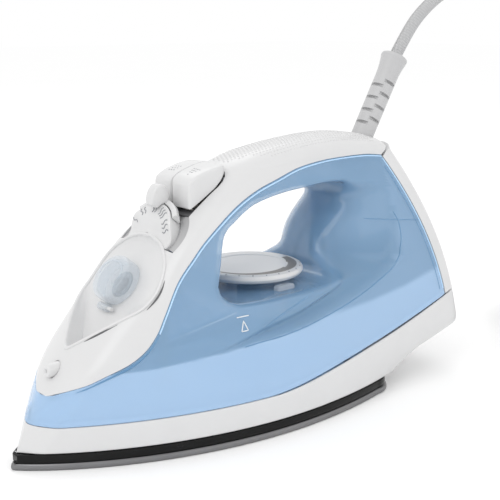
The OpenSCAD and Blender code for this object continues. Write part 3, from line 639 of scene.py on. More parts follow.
ring = np.stack([x, y, z], -1)
tunnel = np.linspace(-1, 1, 9)[1:-1]
through = np.stack([np.broadcast_to(x[:, -1:], (len(x), 7)), y[:, -1:] * tunnel,
                    np.broadcast_to(z[:, -1:], (len(x), 7))], -1)
tank_points = np.concatenate([ring * [1, -1, 1], through, ring[:, ::-1]], 1)
tank = make_mesh("tank", tank_points.reshape(-1, 3), grid_faces(*tank_points.shape[:2], wrap_rows=True).tolist())
tank = tidy(tank, 60)
# Painted shade: the "deep" attribute deepens the tank's blue above the crease, above a line towards the rear and in the
# hollow. Where it is low, the blue stays light, painted as if lit by the white housing behind.
shade_zone = tank.data.attributes.new("deep", "FLOAT", "POINT")
co = np.zeros(len(tank.data.vertices) * 3)
tank.data.vertices.foreach_get("co", co)
co = co.reshape(-1, 3) / mm
crease = along(scoop_low, np.linspace(0, 1, 90))
over = step(co[:, 2] - np.interp(co[:, 0], crease[:, 0], crease[:, 1]), -0.3, 0.6) * (co[:, 0] < 93)
behind = step(co[:, 2] - np.interp(co[:, 0], [28, 60, 88, 121], [52.6, 54.5, 57.5, 63.5]), -1.5, 1.5)
over = np.maximum(over, 0.8 * behind * step(co[:, 0], 22, 40))
shade_zone.data.foreach_set("value", (0.8 * over + 0.2 * scooped(co[:, 0], co[:, 2]) / 3.4).astype(np.float32))
tank_skin = BVHTree.FromPolygons([tuple(v.co) for v in tank.data.vertices],
                                 [tuple(p.vertices) for p in tank.data.polygons])
tank = sharpen(shell(tank), 50)


def tinted_material(name, light, deep, roughness, alpha, **sockets):
    """Clear coloured plastic with painted light and shade: its colour runs from light to deep by the "deep" attribute,
    lighter where a white part stands close behind it and deeper, as painted shade, over the hollow.
    """
    m = finish_material(name, light, roughness, second=light, bump=0.004, **sockets)
    tree, nodes = m.node_tree, m.node_tree.nodes
    shader = nodes["Principled BSDF"]
    m.surface_render_method = "BLENDED"
    shade_zone = nodes.new("ShaderNodeAttribute")
    shade_zone.attribute_name = "deep"
    blend = nodes.new("ShaderNodeMix")
    blend.data_type = "RGBA"
    blend.inputs["A"].default_value = (*light, 1)
    blend.inputs["B"].default_value = (*deep, 1)
    link(tree, shade_zone.outputs["Fac"], blend.inputs["Factor"])
    link(tree, blend.outputs["Result"], shader.inputs["Base Color"])
    shader.inputs["Alpha"].default_value = alpha
    return m


# The tank's blue carries painted light and shade through the "deep" attribute.
tank.data.materials.append(tinted_material("blue_clear", (0.46, 0.67, 0.93), (0.19, 0.36, 0.56), 0.08, 0.62,
                                           Coat_Weight=0.6))
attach(tank, "root")
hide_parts("water_tank")


def flank_line(name, side_view, radius, lift, material, sides=(-1, 1)):
    """Thin beads that follow a side-view curve on both flanks, sunk or lifted by a distance in millimetres."""
    pts = evenly(np.asarray(side_view, float), max(12, int(len(side_view))))
    for side in sides:
        hits = [tank_skin.ray_cast(Vector((x * mm, side * 0.1, z * mm)), Vector((0, -side, 0)))[0] for x, z in pts]
        on = [(np.array(h) / mm, r) for h, r in zip(hits, np.broadcast_to(radius, len(pts))) if h is not None]
        path = np.array([h for h, _ in on]) + [0, side * lift, 0]
        bead = sweep(f"{name}_{'near' if side < 0 else 'far'}", path, np.array([r for _, r in on]), 8)
        dress(bead, material)
        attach(bead, "root")


# Painted shade: dark blue beads stand in for the shadow under the white cover's lower edge, the shade along the crease
# under the hollow and the shade inside the rear rim. The same blue also draws the part line and the deck line.
shade_and_line_blue = finish_material("painted_shade_and_line_blue", (0.1, 0.24, 0.42), 0.3, (0.12, 0.27, 0.46))
# Painted highlight: light blue beads along the tank's upper rim and rear rim stand in for light caught by these edges.
highlight_blue = finish_material("painted_highlight_blue", (0.5, 0.72, 0.95), 0.2, (0.46, 0.68, 0.92))
thin_ends = np.sin(np.linspace(0.1, math.pi - 0.1, 60)) ** 0.5
# Painted shadow under the white cover's lower edge.
flank_line("cover_edge_shadow", along(cover_edge, np.linspace(0.05, 0.31, 60)) + [0.6, -1.0], 0.62 * thin_ends, -0.3, shade_and_line_blue)
# Painted highlight along the upper rim.
flank_line("upper_rim_highlight", along(cover_edge, np.linspace(0.3, 0.995, 140)) + [0.5, -0.9], 0.42, -0.1, highlight_blue)
# Painted shade along the crease.
flank_line("crease_shade", along(scoop_low, np.linspace(0.24, 1, 120)), 0.28, -0.1, shade_and_line_blue)
part_x = np.linspace(72, 112, 40)
flank_line("part_line", np.stack([part_x, 96 - 0.13 * (part_x - 72)], 1), 0.22, -0.1, shade_and_line_blue)
rear_edge = np.stack([back_x(rear_z) - 16 - seam, rear_z], 1)
# Painted highlight along the rear rim.
flank_line("rear_rim_highlight", rear_edge[2:] - [0.7, 0], 0.42, -0.1, highlight_blue)
# Painted shade just inside the rear rim.
flank_line("rear_shade", rear_edge[2:-3] - [3.6, 0], 0.3, -0.15, shade_and_line_blue)
flank_line("deck_line", [[14, 83], [20, 81.8], [25.4, 79.2], [28.6, 76], [29.6, 73], [28, 70.6], [24, 67.8], [18, 65.6],
                         [11.4, 63.9], [1.8, 61.4], [-7.6, 58.6], [-17.8, 54.6]], 0.25, -0.1, shade_and_line_blue, sides=(-1,))
mark_white = finish_material("mark_white", (0.75, 0.78, 0.8), 0.4, (0.72, 0.75, 0.78))
flank_line("level_line", [[-33, 62.4], [-29.5, 62.4], [-26, 62.4]], 0.3, 0.02, mark_white, sides=(-1,))
flank_line("level_arrow", [[-31.4, 55.4], [-29.5, 60.4], [-27.6, 55.4], [-31.4, 55.4]], 0.3, 0.02, mark_white,
           sides=(-1,))

# ---- Inside the tank: its floor, tunnels, valve, pumps and hoses ----
# Moulded and turned pieces that show faintly through the blue.

paint(tinted_material("tank_floor_blue", (0.5, 0.7, 0.9), (0.4, 0.6, 0.85), 0.2, 1.0), "tank_floor", "dial_collar",
      "shaft_tunnel")
paint(white_plastic, "filler_neck", "spray_pump", "steam_pump", "thermal_fuse", "cord_clamp", "terminal_block",
      "slider_collar", "steam_slider", "filler_tray", "spray_button", "steam_button", "spray_nozzle",
      "temperature_dial", "cord_guide", "cap_hinge_pin")
rubber = finish_material("silicone", (0.45, 0.46, 0.48), 0.6, (0.4, 0.41, 0.43), bump=0.03)
paint(rubber, "spray_hose", "steam_hose", "valve_seat")
paint(finish_material("bush_rubber", (0.03, 0.04, 0.06), 0.5, (0.02, 0.03, 0.04)), "guide_socket")
paint(steel, "spray_piston", "steam_piston")

# ---- Top cover: white saddle over the nose, the face and the grip ----
# A 2.4 mm moulding with openings for the filling tray, the steam slider, the buttons, the nozzle and the guide.

ridge = np.array([[-120.9, 34.1], [-112.5, 44.5], [-104.5, 54.5], [-95, 67], [-85, 79.5], [-75, 91.5], [-65, 102.5],
                  [-54, 112.5], [-42, 118.5], [-30, 123.5], [-17, 131], [-5, 135.5], [12, 139], [40, 142],
                  [65, 143], [85, 141], [98, 138.5], [106, 136]], float)
face_origin = np.array([-85, 0, 79.5])
face_slope = math.radians(51)
up_face = np.array([math.cos(face_slope), 0, math.sin(face_slope)])
out_of_face = np.array([-math.sin(face_slope), 0, math.cos(face_slope)])


def on_face(a, b, c):
    """Points from face coordinates: a up the slope, b across, c outwards."""
    a, b, c = np.broadcast_arrays(a, b, c)
    return face_origin + a[..., None] * up_face + b[..., None] * np.array([0, 1, 0]) + c[..., None] * out_of_face


cover_power = 2.6
t = np.linspace(0.002, 1, 280)
e, r = along(cover_edge, t), along(ridge, t)
# the outer surface closes where the way from the edge to the ridge reaches the nose line
shares = np.linspace(0.12, 1, 400)[None, :, None]
climb = e[:, None] + (r - e)[:, None] * shares
inside = climb[..., 0] > nose_x(climb[..., 1]) + 0.5
closing = np.where(inside.all(1), 1, np.maximum(shares[0, np.argmin(inside, 1), 0], 0.12))
padded = np.r_[[closing[0]] * 2, closing, [closing[-1]] * 2]
r = e + (r - e) * np.convolve(padded, np.ones(5) / 5, "valid")[:, None]
height = np.linalg.norm(r - e, axis=1)[:, None]
e = e + (r - e) / height * np.minimum(seam, height / 4)
w = np.r_[0, 0.004, 0.012, np.linspace(0.03, 0.5, 34)] * np.pi
w = np.r_[w, np.pi - w[-2::-1]]
lobe = np.sin(w) ** (2 / cover_power)
wide = -np.sign(np.cos(w)) * np.abs(np.cos(w)) ** (2 / cover_power)
x = e[:, :1] * (1 - lobe) + r[:, :1] * lobe
z = e[:, 1:] * (1 - lobe) + r[:, 1:] * lobe
y = np.maximum(half(x, z), 0.8) * wide
cover_grid = np.stack([x, y, z], -1)
cover = make_mesh("top_cover", cover_grid.reshape(-1, 3), grid_faces(*cover_grid.shape[:2]).tolist())
cover = tidy(cover, 60)
skin = BVHTree.FromPolygons([tuple(v.co) for v in cover.data.vertices],
                            [tuple(p.vertices) for p in cover.data.polygons])
cover = shell(cover)


def prism(name, outline, low, high, place):
    """A straight cutter: the outline's (u, v) points at two heights, placed by a function of u, v and height."""
    outline = np.asarray(outline, float)
    n = len(outline)
    pts = np.vstack([place(outline[:, 0], outline[:, 1], np.full(n, h)) for h in (low, high)])
    faces = [[k, (k + 1) % n, n + (k + 1) % n, n + k] for k in range(n)] + [list(range(n))[::-1],
                                                                           list(range(n, 2 * n))]
    return tidy(make_mesh(name, pts, faces))


tray_half = np.array([[-33, 0], [-31, 3], [-20, 12.5], [-5, 23], [3, 25.5], [12, 25.5], [22, 22], [30, 14],
                      [33.5, 5], [33.5, 0]], float)
tray_side = along(tray_half, np.linspace(0, 1, 60))
tray_outline = np.vstack([tray_side, (tray_side * [1, -1])[-2:0:-1]])
track_a, track_r = 34, 19.5
w = np.linspace(-math.pi / 2 - 0.2, math.pi / 2 + 0.2, 60)
arch_slot = np.stack([track_a + (track_r + 3) * np.cos(w), (track_r + 3) * np.sin(w)], 1)
button_w, button_x0 = 14.6, -42
well = [[button_x0 - 1.4, -15.1], [-24, -15.1], [-20.5, -14.4], [-17.6, -12.8], [-16, -10.8]]
well = well + [[u, -v] for u, v in well[::-1]]
nozzle_at = np.array([-113, 0, 44])
cover = cut(cover,
            prism("tray_hole", tray_outline, -13, 27, on_face),
            prism("arch_hole", arch_slot, -16, 24, on_face),
            prism("button_well", well, 104, 144, lambda u, v, h: np.stack([u, v, h], -1)),
            tidy(revolve("nozzle_hole", [[3.7, -20], [3.7, 14]], nozzle_at, (1, 0, 0), 40)),
            tidy(revolve("guide_hole", [[7, -12], [7, 12]], guide_base, guide_dir, 48)))
cover = sharpen(cover, 32)
dress(cover, white_plastic)
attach(cover, "root")
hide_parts("handle_cover")

# ---- Heel cover: white back panel held by one screw ----
# A 2.4 mm moulding round the heel, over the wiring and the terminal block.

heel_power = 3.5
t = np.linspace(0, 0.985, 90)[:, None]
z0 = band_edge(corner_x) * (1 - t) + corner_top * t
z1 = band_edge(137.5) * (1 - t) + 136 * t
w = np.linspace(0, 1, 61) * np.pi
lobe = np.sin(w) ** (2 / heel_power)
x0, x1 = back_x(z0) - 16 + seam, back_x(z1)
x = x0 * (1 - lobe) + x1 * lobe
z = (z0 * (1 - lobe) + z1 * lobe) + seam
y = -flank(x, z) * np.sign(np.cos(w)) * np.abs(np.cos(w)) ** (2 / heel_power)
heel_grid = np.stack([x, y, z], -1)
heel = make_mesh("heel_cover", heel_grid.reshape(-1, 3), grid_faces(*heel_grid.shape[:2]).tolist())
heel = shell(tidy(heel, 60))
screw_z = 62
heel = sharpen(cut(heel, tidy(revolve("screw_hole", [[1.8, -20], [1.8, -1.5], [4, -1.5], [4, 5]],
                                      (float(back_x(screw_z)), 0, screw_z), (1, 0, 0), 32))), 40)
dress(heel, white_plastic)
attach(heel, "root")
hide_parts("rear_cover")

well_x = np.linspace(button_x0 + 0.3, -15.6, 24)
well_z = np.interp(well_x, [-42, -34, -26, -20, -15.5], [109.5, 113.6, 118.2, 123, 127.6])
well_narrow = 1 - 0.33 * step(well_x, -25, -15)
well_rows = np.stack([np.stack([well_x, v * well_narrow, well_z], 1) for v in np.linspace(-15.3, 15.3, 31)])
well_floor = shell(make_mesh("button_well_floor", well_rows.reshape(-1, 3), grid_faces(31, 24).tolist()), 0.8)
# Painted shade: the floor of the button well is dark grey, for the shade under the keys.
dress(well_floor, finish_material("painted_shade_grey", (0.12, 0.12, 0.125), 0.6, (0.1, 0.1, 0.105)))
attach(well_floor, "root")

# ---- Grip: rows of small studs moulded on the handle's back ----
# 0.35 mm high, 2.3 mm apart and set like bricks, so that a damp hand doesn't slip.


def skin_height(points, direction):
    """Where rays in a direction meet the top cover's outer surface, and its normals there; None rows are misses."""
    hits = [skin.ray_cast(Vector(p * mm), Vector(direction)) for p in points]
    return [(np.array(h[0]) / mm, np.array(h[1])) for h in hits if h[0] is not None]


pitch = 2.3
rows = np.arange(-7, 8)
stud_x = np.arange(-11, 92, pitch)
spots = np.array([(x + pitch / 2 * (k % 2), k * pitch * 0.87, 180) for k in rows for x in stud_x])
reach_edge = np.abs(spots[:, 1]) < 7 + 9.5 * step(spots[:, 0], -12, 25)
found = skin_height(spots[reach_edge], (0, 0, -1))
at, up = np.array([f[0] for f in found]), np.array([f[1] for f in found])
up = up * np.sign(up[:, 2:])
side_axis = np.cross(up, [0, 1, 0])
side_axis /= np.linalg.norm(side_axis, axis=1)[:, None]
other_axis = np.cross(up, side_axis)
w = np.linspace(0, 2 * np.pi, 8, endpoint=False)
stud_rings = [at[:, None] + r * (np.cos(w)[None, :, None] * side_axis[:, None] + np.sin(w)[None, :, None]
                                 * other_axis[:, None]) + h * up[:, None] for r, h in ((0.62, -0.15), (0.5, 0.2), (0.25, 0.34))]
stud = np.concatenate(stud_rings, 1)
one = grid_faces(3, 8, wrap_cols=True).tolist()
one = one + [list(range(8))[::-1], list(range(16, 24))]
stud_faces = [[v + 24 * k for v in f] for k in range(len(at)) for f in one]
studs = tidy(make_mesh("grip_studs", stud.reshape(-1, 3), stud_faces), 80)
dress(studs, white_plastic)
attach(studs, "root")

# ---- Filling tray: white dish set in the sloping face ----
# Its rim lies on the cover's surface and its floor is 10 mm below the ridge, with the filler mouth in the middle.

tray_depth = 10


def face_height(a, b):
    """Height c of the cover's surface above the face plane at face coordinates a, b."""
    c = []
    for p in on_face(np.asarray(a, float), np.asarray(b, float), np.full(len(a), 40.0)):
        hit = skin.ray_cast(Vector(p * mm), Vector(-out_of_face))[0]
        c.append(0.0 if hit is None else float((np.array(hit) / mm - face_origin) @ out_of_face))
    return np.array(c)


tray_mid = np.array([6, 0])


def grown(outline, by):
    """An outline about the tray's middle moved outwards by a distance."""
    out = outline - tray_mid
    return tray_mid + out * (1 + by / np.linalg.norm(out, axis=1))[:, None]


loop = evenly(np.vstack([tray_outline, tray_outline[:1]]), 181)[:-1]
rim_c = face_height(*(grown(loop, 0.6)).T)
smooth = np.ones(7) / 7
rim_c = np.convolve(np.r_[rim_c[-3:], rim_c, rim_c[:3]], smooth, "valid")
lip = [(1.5, -0.25), (1.45, 0.35), (1.1, 0.62), (0.6, 0.7), (0.1, 0.6), (-0.25, 0.25), (-0.5, -0.4)]
levels = [(grown(loop, out), rim_c + lift) for out, lift in lip]
for share in np.linspace(0.15, 1, 10):
    drop = -tray_depth + 1.2 * (1 - math.sin(share * math.pi / 2))
    levels.append((grown(loop, -0.5 - 2.2 * share**2), rim_c * (1 - share) + (-0.4) * (1 - share) + drop * share))
for share in (0.75, 0.5, 0.25, 0.02):
    levels.append((tray_mid + (grown(loop, -2.7) - tray_mid) * share, np.full(len(loop), -tray_depth)))
dish = np.stack([on_face(o[:, 0], o[:, 1], c) for o, c in levels])
tray = make_mesh("filling_tray", dish.reshape(-1, 3), grid_faces(*dish.shape[:2], wrap_cols=True).tolist()
                 + [list(range((len(dish) - 1) * len(loop), len(dish) * len(loop)))])
tray = tidy(tray, 60)
tray = sharpen(cut(shell(tray, 1.2), tidy(revolve("mouth", [[8.2, -4], [8.2, 3]], on_face(6.8, 0, -tray_depth),
                                                  out_of_face, 48))), 40)
dress(tray, white_plastic)
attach(tray, "root")
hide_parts("filler_tray")

# Painted shadow: dark strips just outside the tray's near and front outline stand in for the shade in the gap between
# the tray and the cover.
shade = bpy.data.materials["painted_shade_grey"]
for name, low, high in (("near_gap_shadow", -3, 18), ("front_gap_shadow", -29, -13)):
    near_side = grown(loop, 1.9)
    near_side = near_side[(near_side[:, 1] < -3) & (near_side[:, 0] > low) & (near_side[:, 0] < high)]
    near_side = near_side[np.argsort(near_side[:, 0])]
    gap_c = face_height(*near_side.T)
    gap_c = np.convolve(np.r_[[gap_c[0]] * 3, gap_c, [gap_c[-1]] * 3], smooth, "valid")
    size = 0.5 * np.sin(np.linspace(0.12, math.pi - 0.12, len(gap_c)))
    strip = sweep("tray_" + name, on_face(near_side[:, 0], near_side[:, 1], gap_c - 0.15), size, 8)
    dress(strip, shade)
    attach(strip, "root")

# ---- Filler cap: clear hinged lid over the mouth ----
# Moulded in clear styrene: a hollow drum with a bevelled top, a finger rib and a hinge eye, and drops inside it.

cap_a, cap_r, cap_top = 6.8, 12, 9.5


def glass_material(name, tint, roughness, alpha, **sockets):
    """Thin clear plastic: mostly seen through, with a pale tint, a glossy coat and small mould ripples."""
    m = finish_material(name, tint, roughness, second=tint, grain=350, bump=0.05, **sockets)
    m.surface_render_method = "BLENDED"
    m.node_tree.nodes["Principled BSDF"].inputs["Alpha"].default_value = alpha
    return m


drum = [[0.3, 0.3 + 7.2], [9.6, 7.4], [10.4, 6.6], [10.6, 0.4], [cap_r - 0.3, 0.4], [cap_r, 0.8], [cap_r, 5.6],
        [cap_r - 0.35, 6.1], [cap_r, 6.6], [cap_r - 0.2, 8], [cap_r - 0.9, 9], [cap_r - 2, cap_top], [0.3, cap_top]]
drum = evenly(np.array(drum, float), 90)
cap = tidy(revolve("cap_drum", drum, on_face(cap_a, 0, -tray_depth), out_of_face, 96), 30)
w = np.linspace(-1.9, 1.9, 40)
rib = sweep("cap_rib", on_face(cap_a + 1.5 + 6.5 * np.cos(w), 8 * np.sin(w), -tray_depth + cap_top + 0.1),
            0.55 * np.cos(w / 1.95) ** 0.5, 8)
eye = tidy(revolve("cap_eye", [[2, -3.6], [2, 3.6]], on_face(cap_a - cap_r - 2, 0, -tray_depth + 2.2),
                   (0, 1, 0), 32))
neck_plug = tidy(revolve("cap_plug", [[6.4, -2.4], [6.4, 0.2], [5, 0.2], [5, -2.4]], on_face(cap_a, 0, -tray_depth),
                         out_of_face, 48, closed=False))
rng = np.random.default_rng(4)
spread = rng.uniform(0, 1, (26, 3))
drop_a = cap_a + 9 * np.sqrt(spread[:, 0]) * np.cos(spread[:, 1] * 6.28)
drop_b = 9 * np.sqrt(spread[:, 0]) * np.sin(spread[:, 1] * 6.28)
drop_r = 0.3 + 0.5 * spread[:, 2] ** 2
w = np.linspace(0, np.pi / 2, 5)[:-1]
drops = [tidy(revolve(f"drop_{k}",
                      np.vstack([np.stack([r * np.cos(w), -r * np.sin(w) * 0.7], 1), [[0.02, -0.7 * r]]]),
                      on_face(a, b, -tray_depth + 7.3), out_of_face, 10))
         for k, (a, b, r) in enumerate(zip(drop_a, drop_b, drop_r))]


def join(o, *others):
    """Makes the others' meshes part of the first piece."""
    bm = bmesh.new()
    for piece in (o, *others):
        bm.from_mesh(piece.data)
    bm.to_mesh(o.data)
    bm.free()
    for piece in others:
        bpy.data.objects.remove(piece)
    return o


cap = sharpen(join(cap, rib, eye, neck_plug, *drops), 30)
dress(cap, glass_material("clear_plastic", (0.64, 0.71, 0.78), 0.04, 0.3, Coat_Weight=1.0))
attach(cap, "cap")
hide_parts("filler_cap")

# ---- Steam slider: arched band and tab between the collar and the buttons ----
# The collar carries five generic steam marks, from none to most; the tab swings over them.



def collar_height(a, b):
    """The disc is flush with the cover at its lower edge and levels out 4.8 mm under the tray's plane."""
    surface = face_height(np.ravel(a), np.ravel(b)).reshape(np.shape(a))
    return surface + (-4.8 - surface) * step(np.asarray(a, float), 32, 43)


mark_ink = finish_material("mark_grey", (0.3, 0.31, 0.33), 0.5, (0.26, 0.27, 0.29))
theta = np.linspace(-math.radians(103), math.radians(103), 120)[:, None]
r_in = 1.2 + 6.5 * step(np.abs(theta), math.radians(80), math.radians(100))
rad = r_in + (17.1 - r_in) * np.linspace(0, 1, 22)
coll_a, coll_b = track_a + rad * np.cos(theta), rad * np.sin(theta)
coll_c = collar_height(coll_a, coll_b) - rounded(17.1 - rad, 0.6)
wall_r, wall_c = 17.1 - np.array([0.1, 0.5, 1.1]), np.array([-9, -12, -15.5])
coll_a = np.hstack([coll_a, track_a + wall_r * np.cos(theta)])
coll_b = np.hstack([coll_b, wall_r * np.sin(theta)])
coll_c = np.hstack([coll_c, np.minimum(wall_c, coll_c[:, -1:] - 0.4 * np.arange(1, 4))])
collar = make_mesh("slider_collar_cap", on_face(coll_a, coll_b, coll_c).reshape(-1, 3),
                   grid_faces(*coll_a.shape).tolist())
collar = sharpen(shell(tidy(collar, 60), 2), 40)
dress(collar, white_plastic)
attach(collar, "root")
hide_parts("slider_collar")

wave_marks = []
for k, angle in enumerate((66, 36, 4, -30, -64)):
    for n in range(1 + (k + 1) // 2):
        q = np.linspace(-1, 1, 15)
        rr = 13.6 + 2.1 * q
        tt = math.radians(angle + (n - k / 4) * 9) + 0.045 * np.sin(q * 3.1)
        aa, bb = track_a + rr * np.cos(tt), rr * np.sin(tt)
        wave_marks.append(sweep(f"wave_{k}_{n}", on_face(aa, bb, collar_height(aa, bb) + 0.04), 0.26, 6))
marks = join(*wave_marks)
marks.name = marks.data.name = "steam_marks"
dress(marks, mark_ink)
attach(marks, "root")


turn = np.linspace(-math.radians(100), math.radians(100), 90)[:, None]
front = 1 - step(np.abs(turn), 0.35, 0.7)
track_radii = np.array([16.6, 17.6, 19, 20.6, 21.6, 21.9])
track_radii = track_radii - 2.6 * front * np.array([0, 0.19, 0.45, 0.75, 0.94, 1])
ra, rb = track_a + track_radii * np.cos(turn), track_radii * np.sin(turn)
rc = face_height(ra.ravel(), rb.ravel()).reshape(ra.shape) - [2.3, 1.9, 1.7, 1.6, 1.4, 1.0] - 2.2 * front
track = make_mesh("slider_track", on_face(ra, rb, rc).reshape(-1, 3), grid_faces(*ra.shape).tolist())
track = sharpen(shell(tidy(track, 40), 0.4), 40)
dress(track, finish_material("track_grey", (0.47, 0.47, 0.475), 0.4, (0.45, 0.45, 0.455)))
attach(track, "root")
section = np.array([[17.6, -11], [17.5, -8], [17.5, -6.2], [17.9, -5.75], [19.8, -5.85], [20.3, -6.3], [20.3, -8.4],
                    [18.6, -11]])
turn = np.linspace(-math.radians(50), math.radians(50), 50)[:, None]
band_rows = on_face(track_a + section[:, 0] * np.cos(turn), section[:, 0] * np.sin(turn), section[:, 1])
n, cols = band_rows.shape[:2]
band = tidy(make_mesh("slider_band", band_rows.reshape(-1, 3), grid_faces(n, cols, wrap_cols=True).tolist() + [
    list(range(cols)), list(range(n * cols - 1, (n - 1) * cols - 1, -1))]), 40)
fin = smooth_through(np.array([[47.4, -3.3], [46.8, -1.5], [47.2, 0.6], [49, 2.3], [53.4, 3.6], [56.9, 3.0],
                               [58.6, 0.2], [57.6, -3.5], [55.4, -6.2], [52.4, -6.2], [50.2, -4.6]], float), 5)
fin_mid = fin.mean(0)
fin_rows = []
for b, inset in ((-3.1, 1.2), (-2.98, 0.55), (-2.6, 0.14), (-2.0, 0), (2.0, 0), (2.6, 0.14), (2.98, 0.55), (3.1, 1.2)):
    shape = fin_mid + (fin - fin_mid) * (1 - inset / np.linalg.norm(fin - fin_mid, axis=1))[:, None]
    fin_rows.append(on_face(shape[:, 0], np.full(len(shape), b), shape[:, 1]))
fin_rows = np.stack(fin_rows)
n, cols = fin_rows.shape[:2]
tab = tidy(make_mesh("slider_tab", fin_rows.reshape(-1, 3), grid_faces(n, cols, wrap_cols=True).tolist() + [
    list(range(cols)), list(range(n * cols - 1, (n - 1) * cols - 1, -1))]), 50)
slider = sharpen(join(band, tab), 40)
slider.name = slider.data.name = "steam_slider_knob"
dress(slider, white_plastic)
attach(slider, "slider")
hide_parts("steam_slider")

# ---- Spray and steam buttons: two wedge keys side by side ----
# Each is a hollow key with a square front, a sloping top and a rounded back, and pushes its pump 3 mm down.

key_top = np.array([[-42, 126.3], [-40.6, 128.5], [-36, 131], [-28, 133.3], [-21, 134.4], [-18, 134.2],
                    [-16.6, 133]], float)
key_bottom = np.array([[-42, 113.2], [-34, 117.6], [-26, 122.4], [-20, 127.5], [-16.6, 131.4]], float)


def fillet(corners, radii, count=5):
    """A closed outline whose corners are rounded by arcs of the given radii."""
    corners = np.asarray(corners, float)
    out = []
    for k, (p, r) in enumerate(zip(corners, radii)):
        u = corners[k - 1] - p
        v = corners[(k + 1) % len(corners)] - p
        u, v = u / np.linalg.norm(u), v / np.linalg.norm(v)
        t = np.linspace(0, 1, count)[:, None]
        out.append((p + u * r) * (1 - t) ** 2 + 2 * p * t * (1 - t) + (p + v * r) * t**2)
    return np.vstack(out)


def key(name, side):
    """Sections across the key from front to back: a rounded quarter shape, drawn in at both ends."""
    sections = []
    for x, inset in [(-42, 1.3), (-41.85, 0.7), (-41.4, 0.2), *[(v, 0) for v in np.linspace(-40.8, -19, 16)],
                     (-18, 0.1), (-17.2, 0.5), (-16.7, 1.0), (-16.5, 1.5)]:
        top = float(np.interp(x, *key_top.T))
        low = float(np.interp(x, *key_bottom.T))
        outer = button_w - 3.2 * max(0, (x + 24) / 7.5) ** 2
        box = [[0.25 + inset, low + inset], [0.25 + inset, top - inset * 0.6],
               [outer - inset, top - 0.8 - inset * 0.6], [outer - inset, low + inset]]
        r = min(1.6, (top - low) / 3)
        yz = fillet(box, [0.3, 0.7, r, 0.3])
        sections.append(np.stack([np.full(len(yz), x), side * yz[:, 0], yz[:, 1]], 1))
    sections = np.stack(sections)
    n, cols = sections.shape[:2]
    faces = grid_faces(n, cols, wrap_cols=True).tolist()
    faces += [list(range(cols)), list(range(n * cols - 1, (n - 1) * cols - 1, -1))]
    o = sharpen(tidy(make_mesh(name, sections.reshape(-1, 3), faces)), 35)
    dress(o, white_plastic)
    return o


for name, side, node in (("spray_key", -1, "spray_button"), ("steam_key", 1, "steam_button")):
    piece = key(name + "_cap", side)
    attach(piece, name)
    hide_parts(node)
    spray_dots = [(-37 + 1.9 * i, -7.4 - 1.5 * (j - i / 2)) for i in range(4) for j in range(i + 1)]
    steam_dots = [(-36 + 2.2 * i, 5.5 + 2.0 * j) for i in range(3) for j in range(3)]
    dots = spray_dots if side < 0 else steam_dots
    pips = [tidy(revolve(f"pip_{name}_{k}", [[0.34, -0.3], [0.32, 0.12], [0.02, 0.2]],
                         (x, y, float(np.interp(x, *key_top.T)) - 0.8 * abs(y) / button_w), (-0.3, 0, 1), 8))
            for k, (x, y) in enumerate(dots)]
    pips = join(*pips)
    pips.name = pips.data.name = name + "_marks"
    dress(pips, mark_ink)
    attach(pips, name)

# ---- Spray nozzle: small white jet in the nose ----
# A turned cup with a fine bore, seated in a shallow dish of the cover.

jet = [[0.6, 5], [0.6, -3.4], [1.2, -4.0], [2.2, -4.2], [2.9, -3.9], [3.35, -3.1], [3.45, -1.8], [3.45, 9], [2.5, 9],
       [2.5, 13.9], [0.7, 13.9]]
nozzle = revolve("spray_jet", evenly(np.array(jet, float), 60), nozzle_at, (1, 0, 0), 48, closed=False)
nozzle = sharpen(tidy(nozzle), 40)
dress(nozzle, white_plastic)
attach(nozzle, "root")
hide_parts("spray_nozzle")

# ---- Temperature dial: white disc under the handle, with its ramp-shaped heat mark ----
# Turned rim with a printed grey crescent that widens towards hot, heat dots, and a clear lens for the lamp.

dial_x, dial_top_z = 10, 75.5
bottom = dial_top_z - 5
dial_profile = np.array([[0.3, bottom - 2.6], [8, bottom - 2.6], [8, bottom], [25.8, bottom], [27.6, bottom + 0.5],
                         [28.5, bottom + 1.3], [29, bottom + 2.4], [28.9, bottom + 3.4], [28.3, bottom + 4.4],
                         [27.3, bottom + 4.9], [26.2, dial_top_z], [20.4, dial_top_z - 0.1], [19.8, dial_top_z - 0.45],
                         [0.3, dial_top_z - 0.5]])
dial = sharpen(tidy(revolve("dial_disc", dial_profile, (dial_x, 0, 0), (0, 0, 1), 128)), 28)
dress(dial, white_plastic)
w = np.linspace(-2.6, 1.1, 90)[:, None]
thick = 5.4 * step(w, -2.6, 0.4) * (1 - 0.35 * step(w, 0.5, 1.1)) + 0.3
rad = 25.6 - thick * np.linspace(0, 1, 6)
crescent_grid = np.stack([dial_x + rad * np.cos(w - 1.2), rad * np.sin(w - 1.2),
                          np.where(rad > 20.1, dial_top_z + 0.03, dial_top_z - 0.42)], -1)
crescent = make_mesh("dial_crescent", crescent_grid.reshape(-1, 3), grid_faces(*crescent_grid.shape[:2]).tolist())
crescent = sharpen(shell(tidy(crescent), 0.15), 40)
dress(crescent, finish_material("crescent_grey", (0.13, 0.12, 0.11), 0.35, (0.17, 0.16, 0.15)))
ticks = []
for k, angle in enumerate(np.linspace(-2.75, -0.65, 9)):
    p = (dial_x + 27.4 * math.cos(angle), 27.4 * math.sin(angle), dial_top_z - 0.62)
    ticks.append(tidy(revolve(f"tick_{k}", [[0.28 + 0.05 * (k % 3), 0], [0.28 + 0.05 * (k % 3), 0.75], [0.05, 0.8]], p,
                              (0.35 * math.cos(angle), 0.35 * math.sin(angle), 1), 10)))
ticks = join(*ticks)
ticks.name = ticks.data.name = "dial_ticks"
dress(ticks, mark_ink)
for piece in (dial, crescent, ticks):
    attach(piece, "dial")
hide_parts("temperature_dial")

